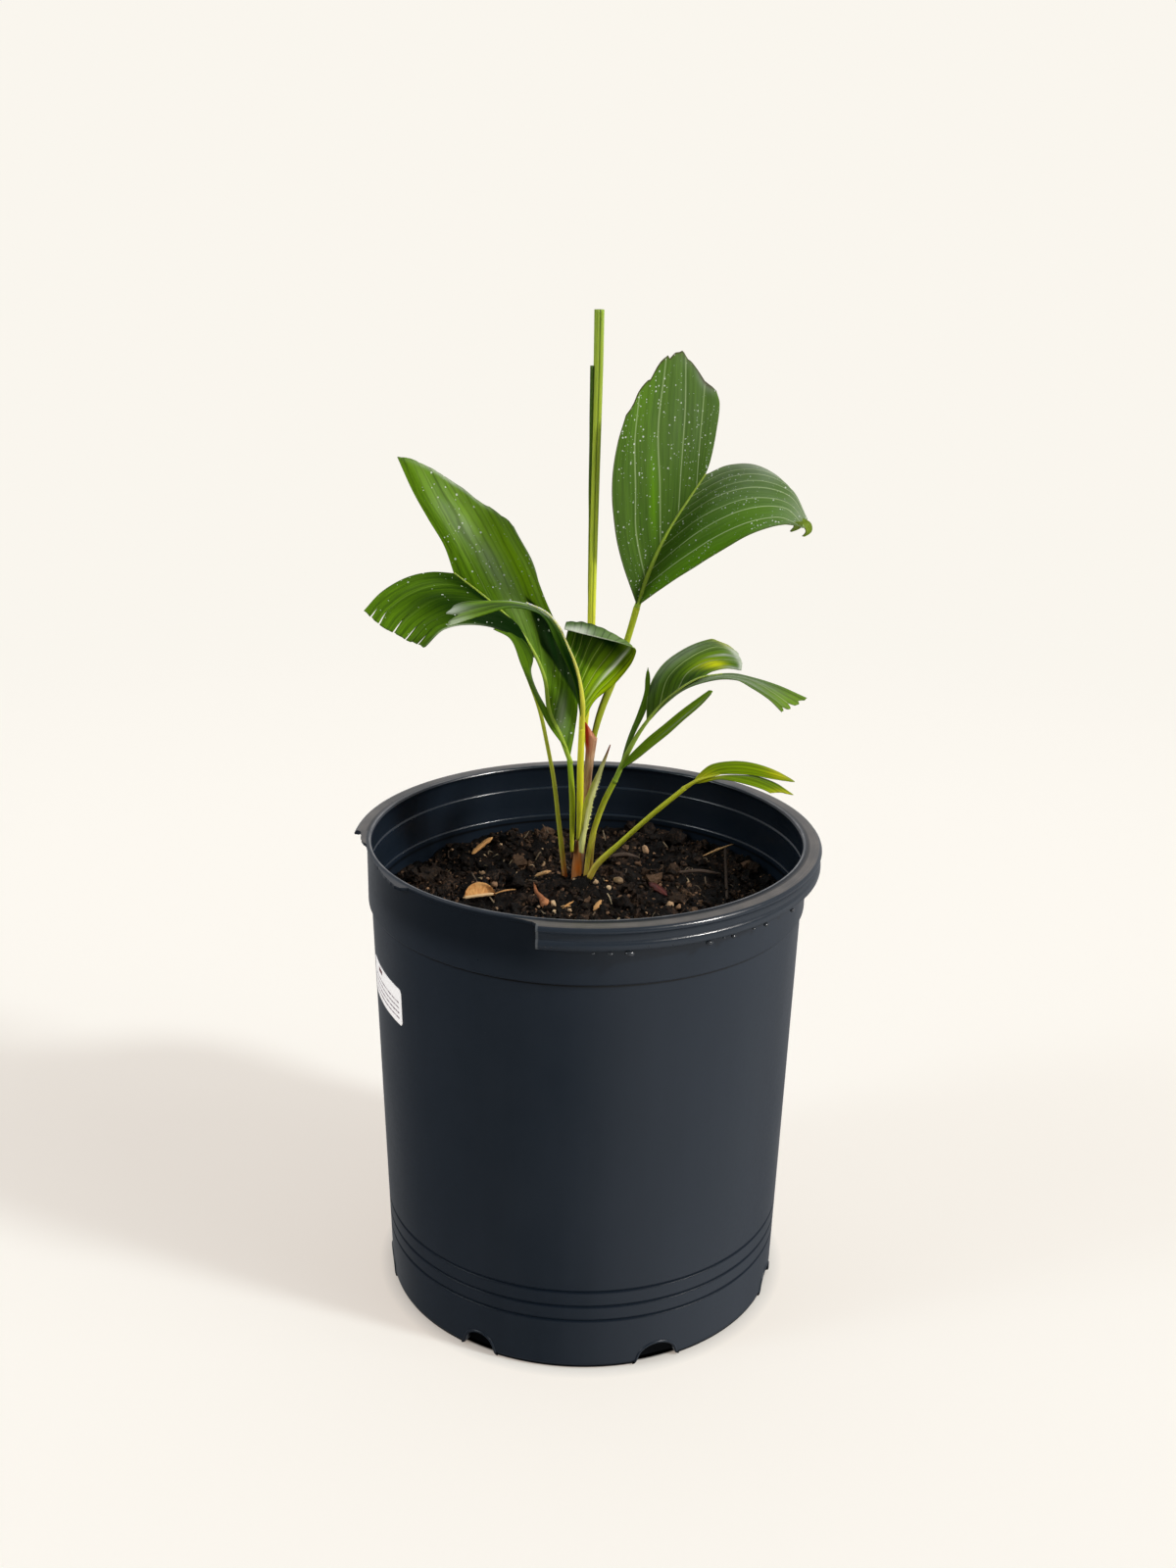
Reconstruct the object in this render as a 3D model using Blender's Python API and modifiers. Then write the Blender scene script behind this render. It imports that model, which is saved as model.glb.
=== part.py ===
"""A young clumping palm with split-tipped leaves, in a dark nursery pot.

Metres, +Z up. The origin is the middle of the pot's flat underside, and the
front of the plant faces -Y. Points and sizes below are in millimetres.
"""

import math
import random

import bmesh
import bpy
from mathutils import Vector

MM = 0.001
GAP = 0.3  # the clearance between pieces that rest on each other
MERGE = 0.001  # points nearer than this are one point

# The pot
POT_HEIGHT = 281.0
RIM_INNER_R = 123.8
FLANGE_R = 135.1
FLANGE_DROP = 1.3
FLANGE_THICK = 1.8
SKIRT_DEPTH = 13.8
SKIRT_BOTTOM_R = 133.7
SKIRT_THICK = 1.7
BAND_R = 126.5
BAND_BOTTOM = 243.9
BASE_R = 116.7
BASE_CHAMFER = 1.3
FLOOR_THICK = 2.2
WALL_THICK = 1.8
WALL_BOTTOM_R = 117.5
WALL_TOP_R = 124.7
LEDGE_RISE = 3.6
LIP_ROUND = 0.6  # how far the mouth's inner edge is rounded off
LIP_DEPTH = 2.5
EDGE_ROUND = 0.9  # the rounding of the flange's outer edge and of the skirt's bottom
POT_STEPS = 72

# Where the flange is broken away, as angle in degrees and the radius that is left
BREAK = ((-179.5, 136.0), (-178.6, 131.0), (-171.5, 130.2), (-168.0, 128.4), (-155.0, 127.9),
         (-142.5, 130.2), (-140.2, 129.6), (-138.5, 126.8), (-101.5, 126.8), (-100.6, 136.0))
BREAK_LOW = 264.0
BREAK_HIGH = 284.0

# Drain notches in the foot
NOTCH_COUNT = 7
NOTCH_FIRST_ANGLE = -68.5
NOTCH_HALF_WIDTH = 12.5
NOTCH_HEIGHT = 11.0
NOTCH_DEPTH = 9.0
NOTCH_SIDES = 20

# The growing mix
SOIL_LEVEL = 236.0
SOIL_SIDE_LOW = 6.0
SOIL_FOOT_INSET = 3.0
SOIL_EDGE_DROP = 4.0
MOUND_TOP = 246.0
MOUND_CENTRE = (-4.0, 18.0)
MOUND_SPREAD = 46.0
MOUND_FULL_RISE = 13.5  # the rise of the mound before its top is cut flat at MOUND_TOP
SOIL_RINGS = 7
SOIL_SIDES = 44
SOIL_LUMP = 2.2
SOIL_SEED = 5

# Where the stems leave the soil, and how far they rise straight up from it
FOOT = MOUND_TOP + GAP
UPRIGHT_RISE = 1.2

TUBE_STEPS = 3
TUBE_SIDES_RESOLUTION = 2

# Stems and leaf stalks: points up the middle line, then the radius at each point
STEMS = {
    "stem_sheath": (((-5, 27, FOOT), (-3.5, 27, 270), (-0.5, 25.5, 302), (2.5, 24, 334)),
                    (2.6, 2.3, 2.1, 2.6)),
    "spear_leaf": (((2.2, 24, 335), (0.5, 24.5, 368), (0.5, 25, 400), (1, 27, 471), (2, 29, 541),
                    (2, 30, 572)),
                   (1.8, 2.4, 2.5, 2.7, 2.8, 2.9)),
    "foot_sheath": (((-6, 21, FOOT), (-5.5, 21, 262), (-4.5, 21.5, 273)), (2.9, 2.4, 0.9)),
    "stalk_left": (((-8.9, 18.7, 262), (-9, 16.6, 293), (-10, 17.5, 310), (-11, 19, 319)),
                   (1.1, 1.8, 1.9, 1.7)),
    "stalk_front": (((-5.4, 18.3, 270), (-4.5, 12.5, 295), (-4.5, 10, 318), (-4, 8, 342)),
                    (1.1, 2.2, 2.2, 2.0)),
    "stalk_upper_right": (((4.6, 27, 337), (7.5, 28, 348), (13, 29, 363), (21, 31, 387), (26.5, 33, 407)),
                          (1.3, 2.0, 2.0, 1.8, 1.7)),
    "stalk_right": (((-0.5, 19.5, FOOT), (1.5, 19, 264), (4.5, 18.5, 278), (9.5, 17, 294), (16, 15, 309)),
                    (1.5, 1.5, 1.5, 1.7, 2.0)),
    "stalk_right_twin": (((2.2, 24.5, FOOT), (3.2, 24.5, 262), (4.8, 23.6, 273)), (1.4, 1.2, 0.8)),
    "stalk_low_right": (((1, 13, FOOT), (6, 11, 257), (19.5, 6, 273), (37.5, -2, 294), (55.5, -9, 313)),
                        (2.0, 1.6, 1.5, 1.5, 1.4)),
    "stalk_back": (((-13.5, 27, FOOT), (-17, 31, 275), (-20.5, 37, 301), (-24.5, 43, 320),
                    (-29.5, 50, 340), (-36.5, 58, 357), (-42.5, 66, 371)),
                   (1.7, 1.5, 1.4, 1.3, 1.3, 1.2, 1.2)),
    "withered_sheath": (((-2.6, 17.4, 275), (0.6, 15, 295), (6.5, 14, 313), (12.5, 13, 331)),
                        (0.8, 1.8, 1.2, 0.4)),
}

# Each leaf: its rib, the rib's radius at both ends, its blade's thickness, and its lobes. A lobe is
# two or more veins, each from the rib to the lobe's torn end, with the depth of its pleats.
LEAVES = {
    "leaf_upper_right": {
        "rib": ((26.7, 33.1, 407.6), (32.5, 36, 426), (41, 40, 445), (52, 44, 463), (64, 48, 481)),
        "rib_radius": (1.7, 1.0),
        "thick": 1.9,
        "lobes": (
            (1.2, (
                ((28, 32, 413), (17, 20, 438), (12, 12, 464), (11, 9, 484), (14, 10, 504), (18, 12, 518)),
                ((31, 35, 422), (25, 24, 451), (24, 18, 477), (23, 16, 504), (25, 18, 531)),
                ((39, 39, 442), (38, 30, 475), (36, 26, 508), (39, 28, 546)),
                ((49, 43, 460), (50, 38, 490), (51, 36, 520), (50, 37, 548)),
                ((59, 46, 474), (60, 44, 497), (61, 44, 516), (62, 45, 533)),
                ((64, 48, 481), (67, 49, 494), (69, 50, 508), (70, 51, 521)))),
            (1.2, (
                ((29, 32, 413), (51, 12, 431), (80, -6, 454), (98, -6, 462), (110, 0, 463)),
                ((34, 36, 428), (59, 22, 452), (83, 12, 467), (105, 10, 469), (117, 8, 459)),
                ((45, 41, 452), (69, 34, 470), (90, 28, 477), (109, 24, 473), (120, 18, 458)),
                ((55, 45, 468), (77, 42, 480), (96, 38, 482), (111, 34, 475), (120, 28, 460)),
                ((64, 48, 481), (77, 50, 486), (92, 48, 486), (106, 44, 479), (117, 38, 464)))),
        ),
    },
    "leaf_left": {
        "rib": ((-11.1, 19, 319.6), (-16.5, 21, 333), (-23, 24, 346), (-26, 28, 365), (-32.5, 31, 380),
                (-43, 34, 395), (-59, 38, 409), (-79, 44, 423)),
        "rib_radius": (1.7, 0.9),
        "thick": 2.0,
        "lobes": (
            (1.3, (
                ((-79, 44, 423), (-85, 46, 439), (-94, 48, 454), (-103, 50, 470), (-111, 52, 488)),
                ((-58, 38, 409), (-68, 44, 428), (-82, 50, 453), (-99, 56, 484)),
                ((-35, 32, 385), (-47, 42, 412), (-64, 52, 442), (-85, 60, 476)),
                ((-25, 26, 361), (-30, 38, 387), (-42, 52, 418), (-55, 60, 442), (-67, 66, 462)),
                ((-21, 24, 342), (-17, 34, 365), (-21, 46, 385), (-33, 58, 417), (-53, 70, 452)),
                ((-14, 20, 327), (-7, 30, 351), (-11, 44, 375), (-25, 58, 399), (-34, 68, 425),
                 (-46, 74, 445)))),
            (1.1, (
                ((-78, 43, 423), (-92, 40, 424), (-107, 34, 421), (-119, 26, 415), (-128, 18, 406)),
                ((-59, 38, 410), (-79, 34, 418), (-99, 26, 416), (-114, 18, 407), (-119, 12, 400)),
                ((-43, 34, 395), (-60, 29, 409), (-85, 21, 413), (-102, 12, 404), (-109, 6, 396)),
                ((-35, 31, 384), (-44, 27, 399), (-65, 18, 408), (-89, 8, 403), (-100, 0, 393)),
                ((-32, 30, 377), (-43, 24, 391), (-62, 13, 400), (-81, 3, 400), (-92, -4, 391)))),
            (0.4, (
                ((-13, 18, 326), (-25, 17, 344), (-33, 18, 362), (-39, 19, 376), (-45, 21, 390),
                 (-55, 17, 397)),
                ((-12, 20, 326), (-23, 22, 346), (-30, 24, 359), (-34, 26, 372), (-40, 27, 387),
                 (-51, 24, 400)))),
        ),
    },
    "leaf_front": {
        "rib": ((-4, 7.9, 342.6), (-4, 2, 360), (-7.5, -6, 381), (-13.5, -13, 398), (-17.5, -18, 408)),
        "rib_radius": (1.9, 0.9),
        "thick": 1.4,
        "lobes": (
            (0.9, (
                ((-4.5, 4, 349), (-9, -8, 375), (-18, -26, 401), (-26, -40, 420), (-42, -44, 425),
                 (-58, -44, 420), (-75, -42, 414)),
                ((-4.5, 0, 366), (-12, -16, 395), (-22, -28, 415), (-36, -30, 422), (-54, -29, 422),
                 (-78, -26, 414)),
                ((-15, -15, 402), (-24, -17, 415), (-35, -16, 420), (-54, -13, 421), (-70, -11, 419),
                 (-79, -10, 415)))),
            (1.0, (
                ((-2.5, 5, 349), (2, 10, 359), (13, 13, 367), (23, 13, 378), (26, 9, 387), (25, 3, 391)),
                ((-3.5, 2, 358), (6, 11, 369), (17, 14, 381), (23, 8, 391), (18, -3, 395)),
                ((-5.5, -2, 371), (0, 6, 382), (7, 9, 393), (10, 4, 400), (8, -9, 399)),
                ((-9, -8, 386), (-6, 0, 393), (-4, 2, 401), (-2, -2, 406), (-3, -14, 403)),
                ((-13.5, -13, 398), (-13, -9, 402), (-12, -8, 406), (-13, -10, 409), (-14, -19, 407)))),
        ),
    },
    "leaf_right": {
        "rib": ((16.2, 14.9, 309.5), (22, 14, 324), (29.5, 13, 339), (40, 12, 354), (50, 11, 364),
                (62, 10, 372), (75, 9, 375)),
        "rib_radius": (1.9, 0.8),
        "thick": 1.3,
        "lobes": (
            (0.3, (
                ((18, 14, 315), (21.5, 20, 329), (28, 24, 346), (32, 26, 359), (32.5, 27, 366),
                 (33.5, 28, 373)),
                ((20, 14, 319), (26, 18, 335), (33, 22, 350), (34.5, 24, 360), (35, 25, 367),
                 (34, 27, 373)))),
            (0.5, (
                ((18.5, 13, 315), (30, 6, 326), (41, -2, 339), (53, -8, 352), (63, -12, 363),
                 (69, -14, 371)),
                ((20.5, 14, 320), (28, 10, 330), (39, 4, 343), (51, -2, 355), (60, -6, 364),
                 (68, -9, 371)))),
            (0.9, (
                ((33, 13, 344), (34, 26, 360), (42, 34, 373), (55, 38, 382), (70, 38, 388), (75, 36, 387)),
                ((40, 12, 354), (45, 24, 368), (56, 32, 377), (71, 32, 383), (80, 28, 382)),
                ((50, 11, 364), (56, 21, 372), (68, 25, 378), (79, 22, 380), (85, 18, 378)),
                ((63, 10, 372), (70, 14, 375), (78, 15, 377), (86, 12, 377)))),
            (0.6, (
                ((34, 12, 345), (49, 8, 363), (67, 5, 372), (82, 3, 373), (91, 0, 369), (101, -3, 363),
                 (108, -5, 357)),
                ((40, 12, 354), (58, 10, 368), (75, 9, 373), (90, 7, 372), (104, 4, 365), (115, 1, 358)),
                ((50, 11, 364), (64, 13, 372), (75, 13, 374), (86, 12, 374), (106, 10, 368),
                 (122, 8, 361)))),
        ),
    },
    "leaf_low_right": {
        "rib": ((55.8, -9.1, 313.3), (61.5, -12, 318), (68, -14, 321), (74, -15, 323)),
        "rib_radius": (1.4, 0.8),
        "thick": 1.2,
        "lobes": (
            (0.5, (
                ((59, -10.5, 316), (63, -8, 321), (70, -6, 326), (81, -8, 329), (92, -11, 329),
                 (105, -15, 326), (116, -20, 321)),
                ((66, -13, 321), (74, -14, 323), (82, -16, 324), (92, -18, 324), (103, -21, 323),
                 (115, -24, 322)))),
            (0.5, (
                ((66, -14, 320), (75, -14, 322), (86, -15, 323), (95, -17, 323), (105, -20, 320),
                 (115, -24, 315)),
                ((60, -11.5, 316), (67, -16, 319), (75, -20, 322), (85, -24, 322), (96, -28, 320),
                 (104, -31, 317)))),
        ),
    },
    "leaf_back": {
        "rib": ((-42.8, 66.4, 371.6), (-50, 74, 385), (-58, 82, 398)),
        "rib_radius": (1.2, 0.8),
        "thick": 1.2,
        "lobes": (
            (0.7, (
                ((-45, 68, 375), (-57, 66, 391), (-74, 64, 402), (-88, 60, 404), (-98, 54, 398)),
                ((-51, 76, 388), (-66, 78, 402), (-82, 76, 408), (-99, 70, 405)),
                ((-58, 82, 398), (-70, 88, 407), (-84, 88, 411), (-98, 84, 409)))),
            (0.7, (
                ((-58, 82, 398), (-64, 92, 409), (-73, 100, 422), (-80, 106, 433)),
                ((-51, 76, 388), (-54, 88, 404), (-60, 98, 423), (-68, 106, 439)),
                ((-45, 69, 376), (-42, 80, 394), (-45, 92, 412), (-51, 102, 428)))),
        ),
    },
}
BLADE_ROWS = 9
TOOTH_LENGTH = 0.045
TOOTH_SEED = 11
PLEAT_FADE = 0.85

# Colours and finish: red, green, blue, roughness
MATERIALS = {
    "pot_plastic": (0.020, 0.023, 0.030, 0.42),
    "soil": (0.030, 0.018, 0.012, 0.95),
    "leaf_green": (0.055, 0.150, 0.020, 0.38),
    "stalk_green": (0.300, 0.360, 0.040, 0.42),
    "spear_green": (0.160, 0.260, 0.030, 0.42),
    "dry_sheath": (0.280, 0.180, 0.110, 0.75),
}
STEM_MATERIALS = {
    "stem_sheath": "dry_sheath",
    "spear_leaf": "spear_green",
    "foot_sheath": "dry_sheath",
    "withered_sheath": "dry_sheath",
}


def clear_scene():
    for obj in list(bpy.data.objects):
        bpy.data.objects.remove(obj, do_unlink=True)


def make_material(name):
    red, green, blue, roughness = MATERIALS[name]
    material = bpy.data.materials.new(name)
    material.use_nodes = True
    shader = material.node_tree.nodes["Principled BSDF"]
    shader.inputs["Base Color"].default_value = (red, green, blue, 1.0)
    shader.inputs["Roughness"].default_value = roughness
    shader.inputs["Metallic"].default_value = 0.0
    material.diffuse_color = (red, green, blue, 1.0)
    return material


def metres(point):
    return Vector(point) * MM


def add_object(name, data, collection, location=(0.0, 0.0, 0.0)):
    obj = bpy.data.objects.new(name, data)
    obj.location = location
    collection.objects.link(obj)
    return obj


def hide_as_helper(obj):
    obj.hide_render = True
    obj.display_type = "WIRE"


def smooth_path(points, count):
    """Points evenly along a smooth curve through the given points, both ends included."""
    points = [Vector(p) for p in points]
    lengths = [0.0]
    for a, b in zip(points, points[1:]):
        lengths.append(lengths[-1] + (b - a).length)
    slopes = []
    for i in range(len(points)):
        low, high = max(i - 1, 0), min(i + 1, len(points) - 1)
        slopes.append((points[high] - points[low]) / (lengths[high] - lengths[low]))
    path = []
    part = 0
    for k in range(count):
        at = lengths[-1] * k / (count - 1)
        while part < len(points) - 2 and at > lengths[part + 1]:
            part += 1
        span = lengths[part + 1] - lengths[part]
        t = (at - lengths[part]) / span
        path.append((2 * t**3 - 3 * t**2 + 1) * points[part] + (3 * t**2 - 2 * t**3) * points[part + 1]
                    + (t**3 - 2 * t**2 + t) * span * slopes[part]
                    + (t**3 - t**2) * span * slopes[part + 1])
    return path


# The pot

def wall_radius(height):
    return WALL_BOTTOM_R + (WALL_TOP_R - WALL_BOTTOM_R) * height / BAND_BOTTOM


def pot_profile():
    """(radius, height) from the middle of the floor, up the inside, down the outside, to the axis."""
    ledge_top = BAND_BOTTOM + LEDGE_RISE
    flange_edge = POT_HEIGHT - FLANGE_DROP
    skirt_bottom = POT_HEIGHT - SKIRT_DEPTH
    return (
        (0.0, FLOOR_THICK),
        (wall_radius(FLOOR_THICK) - WALL_THICK, FLOOR_THICK),
        (WALL_TOP_R - WALL_THICK, ledge_top - WALL_THICK),
        (BAND_R - WALL_THICK, ledge_top),
        (BAND_R - WALL_THICK, POT_HEIGHT - LIP_DEPTH),
        (RIM_INNER_R, POT_HEIGHT - LIP_ROUND),
        (RIM_INNER_R + LIP_ROUND, POT_HEIGHT),
        (FLANGE_R - EDGE_ROUND, flange_edge),
        (FLANGE_R, flange_edge - EDGE_ROUND),
        (SKIRT_BOTTOM_R, skirt_bottom + EDGE_ROUND),
        (SKIRT_BOTTOM_R - EDGE_ROUND, skirt_bottom),
        (SKIRT_BOTTOM_R - SKIRT_THICK, skirt_bottom),
        (FLANGE_R - SKIRT_THICK, flange_edge - FLANGE_THICK),
        (BAND_R, flange_edge - FLANGE_THICK),
        (BAND_R, BAND_BOTTOM + LEDGE_RISE / 3),
        (WALL_TOP_R, BAND_BOTTOM),
        (wall_radius(BASE_CHAMFER), BASE_CHAMFER),
        (BASE_R - BASE_CHAMFER, 0.0),
        (0.0, 0.0),
    )


def rim_cutter(cutters):
    """A ring sector over the part of the flange that has broken off."""
    mesh = bpy.data.meshes.new("rim_break")
    form = bmesh.new()
    outer = FLANGE_R + 12.0
    rings = []
    for angle, kept in BREAK:
        turn = math.radians(angle)
        low_kept = max(kept, BAND_R + 0.2)
        corners = ((low_kept, BREAK_LOW), (outer, BREAK_LOW), (outer, BREAK_HIGH), (kept, BREAK_HIGH))
        rings.append([form.verts.new(metres((r * math.cos(turn), r * math.sin(turn), z)))
                      for r, z in corners])
    for a, b in zip(rings, rings[1:]):
        for i in range(4):
            form.faces.new((a[i], b[i], b[(i + 1) % 4], a[(i + 1) % 4]))
    form.faces.new(rings[0])
    form.faces.new(rings[-1])
    bmesh.ops.recalc_face_normals(form, faces=form.faces)
    form.to_mesh(mesh)
    form.free()
    cutter = add_object("rim_break", mesh, cutters)
    hide_as_helper(cutter)
    return cutter


def notch_cutter(number, cutters):
    """An arch through the foot of the wall, lying along a radius."""
    form = bmesh.new()
    bmesh.ops.create_cone(form, cap_ends=True, segments=NOTCH_SIDES, radius1=1.0, radius2=1.0, depth=2.0)
    mesh = bpy.data.meshes.new(f"notch_{number}")
    form.to_mesh(mesh)
    form.free()
    cutter = add_object(f"notch_{number}", mesh, cutters)
    turn = math.radians(NOTCH_FIRST_ANGLE - number * 360.0 / NOTCH_COUNT)
    reach = BASE_R - 1.0
    cutter.location = metres((reach * math.cos(turn), reach * math.sin(turn), 0.0))
    cutter.rotation_euler = (math.radians(90.0), 0.0, turn + math.radians(90.0))
    cutter.scale = (NOTCH_HALF_WIDTH * MM, NOTCH_HEIGHT * MM, NOTCH_DEPTH * MM)
    hide_as_helper(cutter)
    return cutter


def build_pot(parts, cutters, material):
    profile = [(r * MM, 0.0, z * MM) for r, z in pot_profile()]
    mesh = bpy.data.meshes.new("pot")
    mesh.from_pydata(profile, [(i, i + 1) for i in range(len(profile) - 1)], [])
    mesh.materials.append(material)
    pot = add_object("pot", mesh, parts)
    turned = pot.modifiers.new("Turned", "SCREW")
    turned.steps = POT_STEPS
    turned.render_steps = POT_STEPS
    turned.use_merge_vertices = True
    turned.merge_threshold = 0.00005
    turned.use_smooth_shade = True
    cuts = [rim_cutter(cutters)] + [notch_cutter(i, cutters) for i in range(NOTCH_COUNT)]
    for cut in cuts:
        modifier = pot.modifiers.new(cut.name, "BOOLEAN")
        modifier.operation = "DIFFERENCE"
        modifier.object = cut
    return pot


# The growing mix

def soil_height(x, y, rng):
    away = math.hypot(x - MOUND_CENTRE[0], y - MOUND_CENTRE[1]) / MOUND_SPREAD
    rise = MOUND_FULL_RISE * math.exp(-away * away)
    lump = rng.uniform(-SOIL_LUMP, SOIL_LUMP)
    return min(SOIL_LEVEL + rise + lump, MOUND_TOP)


def build_soil(parts, material):
    """One solid that fills the pot, with a lumpy top that rises to a small flat mound."""
    rng = random.Random(SOIL_SEED)
    form = bmesh.new()

    def ring(radius, height=None):
        verts = []
        for i in range(SOIL_SIDES):
            turn = 2 * math.pi * i / SOIL_SIDES
            x, y = radius * math.cos(turn), radius * math.sin(turn)
            z = soil_height(x, y, rng) if height is None else height
            verts.append(form.verts.new(metres((x, y, z))))
        return verts

    facet = 1.0 / math.cos(math.pi / SOIL_SIDES)
    low_r = wall_radius(SOIL_SIDE_LOW) - WALL_THICK - 2 * GAP
    side_top = SOIL_LEVEL - SOIL_EDGE_DROP
    high_r = wall_radius(side_top) - WALL_THICK - 2 * GAP
    floor = FLOOR_THICK + GAP
    rings = [ring(low_r - SOIL_FOOT_INSET, floor), ring(low_r, SOIL_SIDE_LOW), ring(high_r, side_top)]
    rings += [ring(high_r * (SOIL_RINGS - i) / SOIL_RINGS / facet) for i in range(SOIL_RINGS)]
    for a, b in zip(rings, rings[1:]):
        for i in range(SOIL_SIDES):
            j = (i + 1) % SOIL_SIDES
            form.faces.new((a[i], a[j], b[j], b[i]))
    form.faces.new(rings[0])
    bmesh.ops.contextual_create(form, geom=rings[-1])
    bmesh.ops.recalc_face_normals(form, faces=form.faces)
    bmesh.ops.triangulate(form, faces=form.faces)
    mesh = bpy.data.meshes.new("soil")
    form.to_mesh(mesh)
    form.free()
    mesh.materials.append(material)
    return add_object("soil", mesh, parts)


# Stems, stalks and ribs

def tube(name, points, radii, collection, material):
    """A tapering round stem as a curve with a bevel, standing at its first point."""
    start = Vector(points[0])
    count = TUBE_STEPS * (len(points) - 1) + 1
    path = smooth_path(points, count)
    widths = smooth_path([(r, i, 0.0) for i, r in enumerate(radii)], count)
    if points[0][2] == FOOT:
        # A stem leaves the soil upright, so that its foot lies flat on it
        path.insert(1, start + Vector((0.0, 0.0, UPRIGHT_RISE)))
        widths.insert(1, widths[0])
    curve = bpy.data.curves.new(name, "CURVE")
    curve.dimensions = "3D"
    curve.bevel_depth = MM
    curve.bevel_resolution = TUBE_SIDES_RESOLUTION
    curve.use_fill_caps = True
    spline = curve.splines.new("POLY")
    spline.points.add(len(path) - 1)
    for point, place, width in zip(spline.points, path, widths):
        point.co = (*((place - start) * MM), 1.0)
        point.radius = width.x
    curve.materials.append(material)
    return add_object(name, curve, collection, metres(start))


def as_mesh(obj):
    """The evaluated shape of an object as a new closed mesh object, with the old one removed."""
    evaluated = obj.evaluated_get(bpy.context.evaluated_depsgraph_get())
    mesh = bpy.data.meshes.new_from_object(evaluated)
    form = bmesh.new()
    form.from_mesh(mesh)
    bmesh.ops.remove_doubles(form, verts=form.verts, dist=MERGE * MM)
    bmesh.ops.recalc_face_normals(form, faces=form.faces)
    form.to_mesh(mesh)
    form.free()
    name, matrix, collection = obj.name, obj.matrix_world.copy(), obj.users_collection[0]
    bpy.data.objects.remove(obj, do_unlink=True)
    closed = bpy.data.objects.new(name, mesh)
    closed.matrix_world = matrix
    collection.objects.link(closed)
    return closed


def drop_scraps(mesh):
    """Keeps the largest connected shell, so that a sliver or a sealed hollow left by the join goes."""
    form = bmesh.new()
    form.from_mesh(mesh)
    unseen = set(form.verts)
    shells = []
    while unseen:
        shell = set()
        queue = [unseen.pop()]
        while queue:
            vert = queue.pop()
            shell.add(vert)
            for edge in vert.link_edges:
                other = edge.other_vert(vert)
                if other in unseen:
                    unseen.remove(other)
                    queue.append(other)
        shells.append(shell)
    largest = max(shells, key=len)
    scraps = [vert for vert in form.verts if vert not in largest]
    bmesh.ops.delete(form, geom=scraps, context="VERTS")
    form.to_mesh(mesh)
    form.free()


# Blades

def lobe(name, veins, pleat, thick, rng, collection, material):
    """A pleated sheet spanned between veins, with a torn far end, thickened to a closed solid.

    There is one fold on each vein and one midway between two, and the pleats fade at the rib.
    """
    lines = [smooth_path(vein, BLADE_ROWS) for vein in veins]
    columns = 2 * (len(veins) - 1) + 1
    grid = [smooth_path([line[row] for line in lines], columns) for row in range(BLADE_ROWS)]
    cuts = [rng.uniform(0.0, TOOTH_LENGTH) + (TOOTH_LENGTH if c % 2 else 0.0) for c in range(columns)]
    for c, cut in enumerate(cuts):
        grid[-1][c] = grid[-1][c].lerp(grid[-2][c], cut * BLADE_ROWS)
    form = bmesh.new()
    verts = []
    for row in range(BLADE_ROWS):
        fade = math.sin(math.pi * row / (BLADE_ROWS - 1) * PLEAT_FADE)
        line = []
        for c in range(columns):
            along = grid[min(row + 1, BLADE_ROWS - 1)][c] - grid[max(row - 1, 0)][c]
            across = grid[row][min(c + 1, columns - 1)] - grid[row][max(c - 1, 0)]
            normal = along.cross(across).normalized()
            fold = pleat * fade * (0.5 if c % 2 == 0 else -0.5)
            line.append(form.verts.new((grid[row][c] + normal * fold) * MM))
        verts.append(line)
    for a, b in zip(verts, verts[1:]):
        for c in range(columns - 1):
            form.faces.new((a[c], a[c + 1], b[c + 1], b[c]))
    mesh = bpy.data.meshes.new(name)
    form.to_mesh(mesh)
    form.free()
    mesh.materials.append(material)
    sheet = add_object(name, mesh, collection)
    shell = sheet.modifiers.new("Thick", "SOLIDIFY")
    shell.thickness = thick * MM
    shell.offset = 0.0
    return sheet


def build_leaf(name, spec, parts, leaf_green, stalk_green, rng):
    """The rib and its lobes joined into one closed solid."""
    pieces = bpy.data.collections.new(f"{name}_pieces")
    bpy.context.scene.collection.children.link(pieces)
    first, last = spec["rib_radius"]
    count = len(spec["rib"])
    radii = [first + (last - first) * i / (count - 1) for i in range(count)]
    rib = tube(name, spec["rib"], radii, parts, stalk_green)
    lobes = [lobe(f"{name}_lobe_{i}", veins, pleat, spec["thick"], rng, pieces, leaf_green)
             for i, (pleat, veins) in enumerate(spec["lobes"])]
    bpy.context.view_layer.update()
    rib = as_mesh(rib)
    for piece in lobes:
        as_mesh(piece)
    join = rib.modifiers.new("Join", "BOOLEAN")
    join.operation = "UNION"
    join.solver = "MANIFOLD"
    join.operand_type = "COLLECTION"
    join.collection = pieces
    bpy.context.view_layer.update()
    leaf = as_mesh(rib)
    drop_scraps(leaf.data)
    for piece in list(pieces.objects):
        bpy.data.objects.remove(piece, do_unlink=True)
    bpy.data.collections.remove(pieces)
    leaf.name = name
    leaf.data.name = name
    return leaf


def main():
    clear_scene()
    parts = bpy.data.collections.new("potted_palm")
    cutters = bpy.data.collections.new("cutters")
    bpy.context.scene.collection.children.link(parts)
    bpy.context.scene.collection.children.link(cutters)
    cutters.hide_render = True
    materials = {name: make_material(name) for name in MATERIALS}

    made = [build_pot(parts, cutters, materials["pot_plastic"]), build_soil(parts, materials["soil"])]
    for name, (points, radii) in STEMS.items():
        material = materials[STEM_MATERIALS.get(name, "stalk_green")]
        made.append(tube(name, points, radii, parts, material))
    rng = random.Random(TOOTH_SEED)
    for name, spec in LEAVES.items():
        made.append(build_leaf(name, spec, parts, materials["leaf_green"], materials["stalk_green"], rng))

    stand = add_object("potted_palm_root", None, parts)
    for obj in made:
        obj.parent = stand


main()
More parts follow.
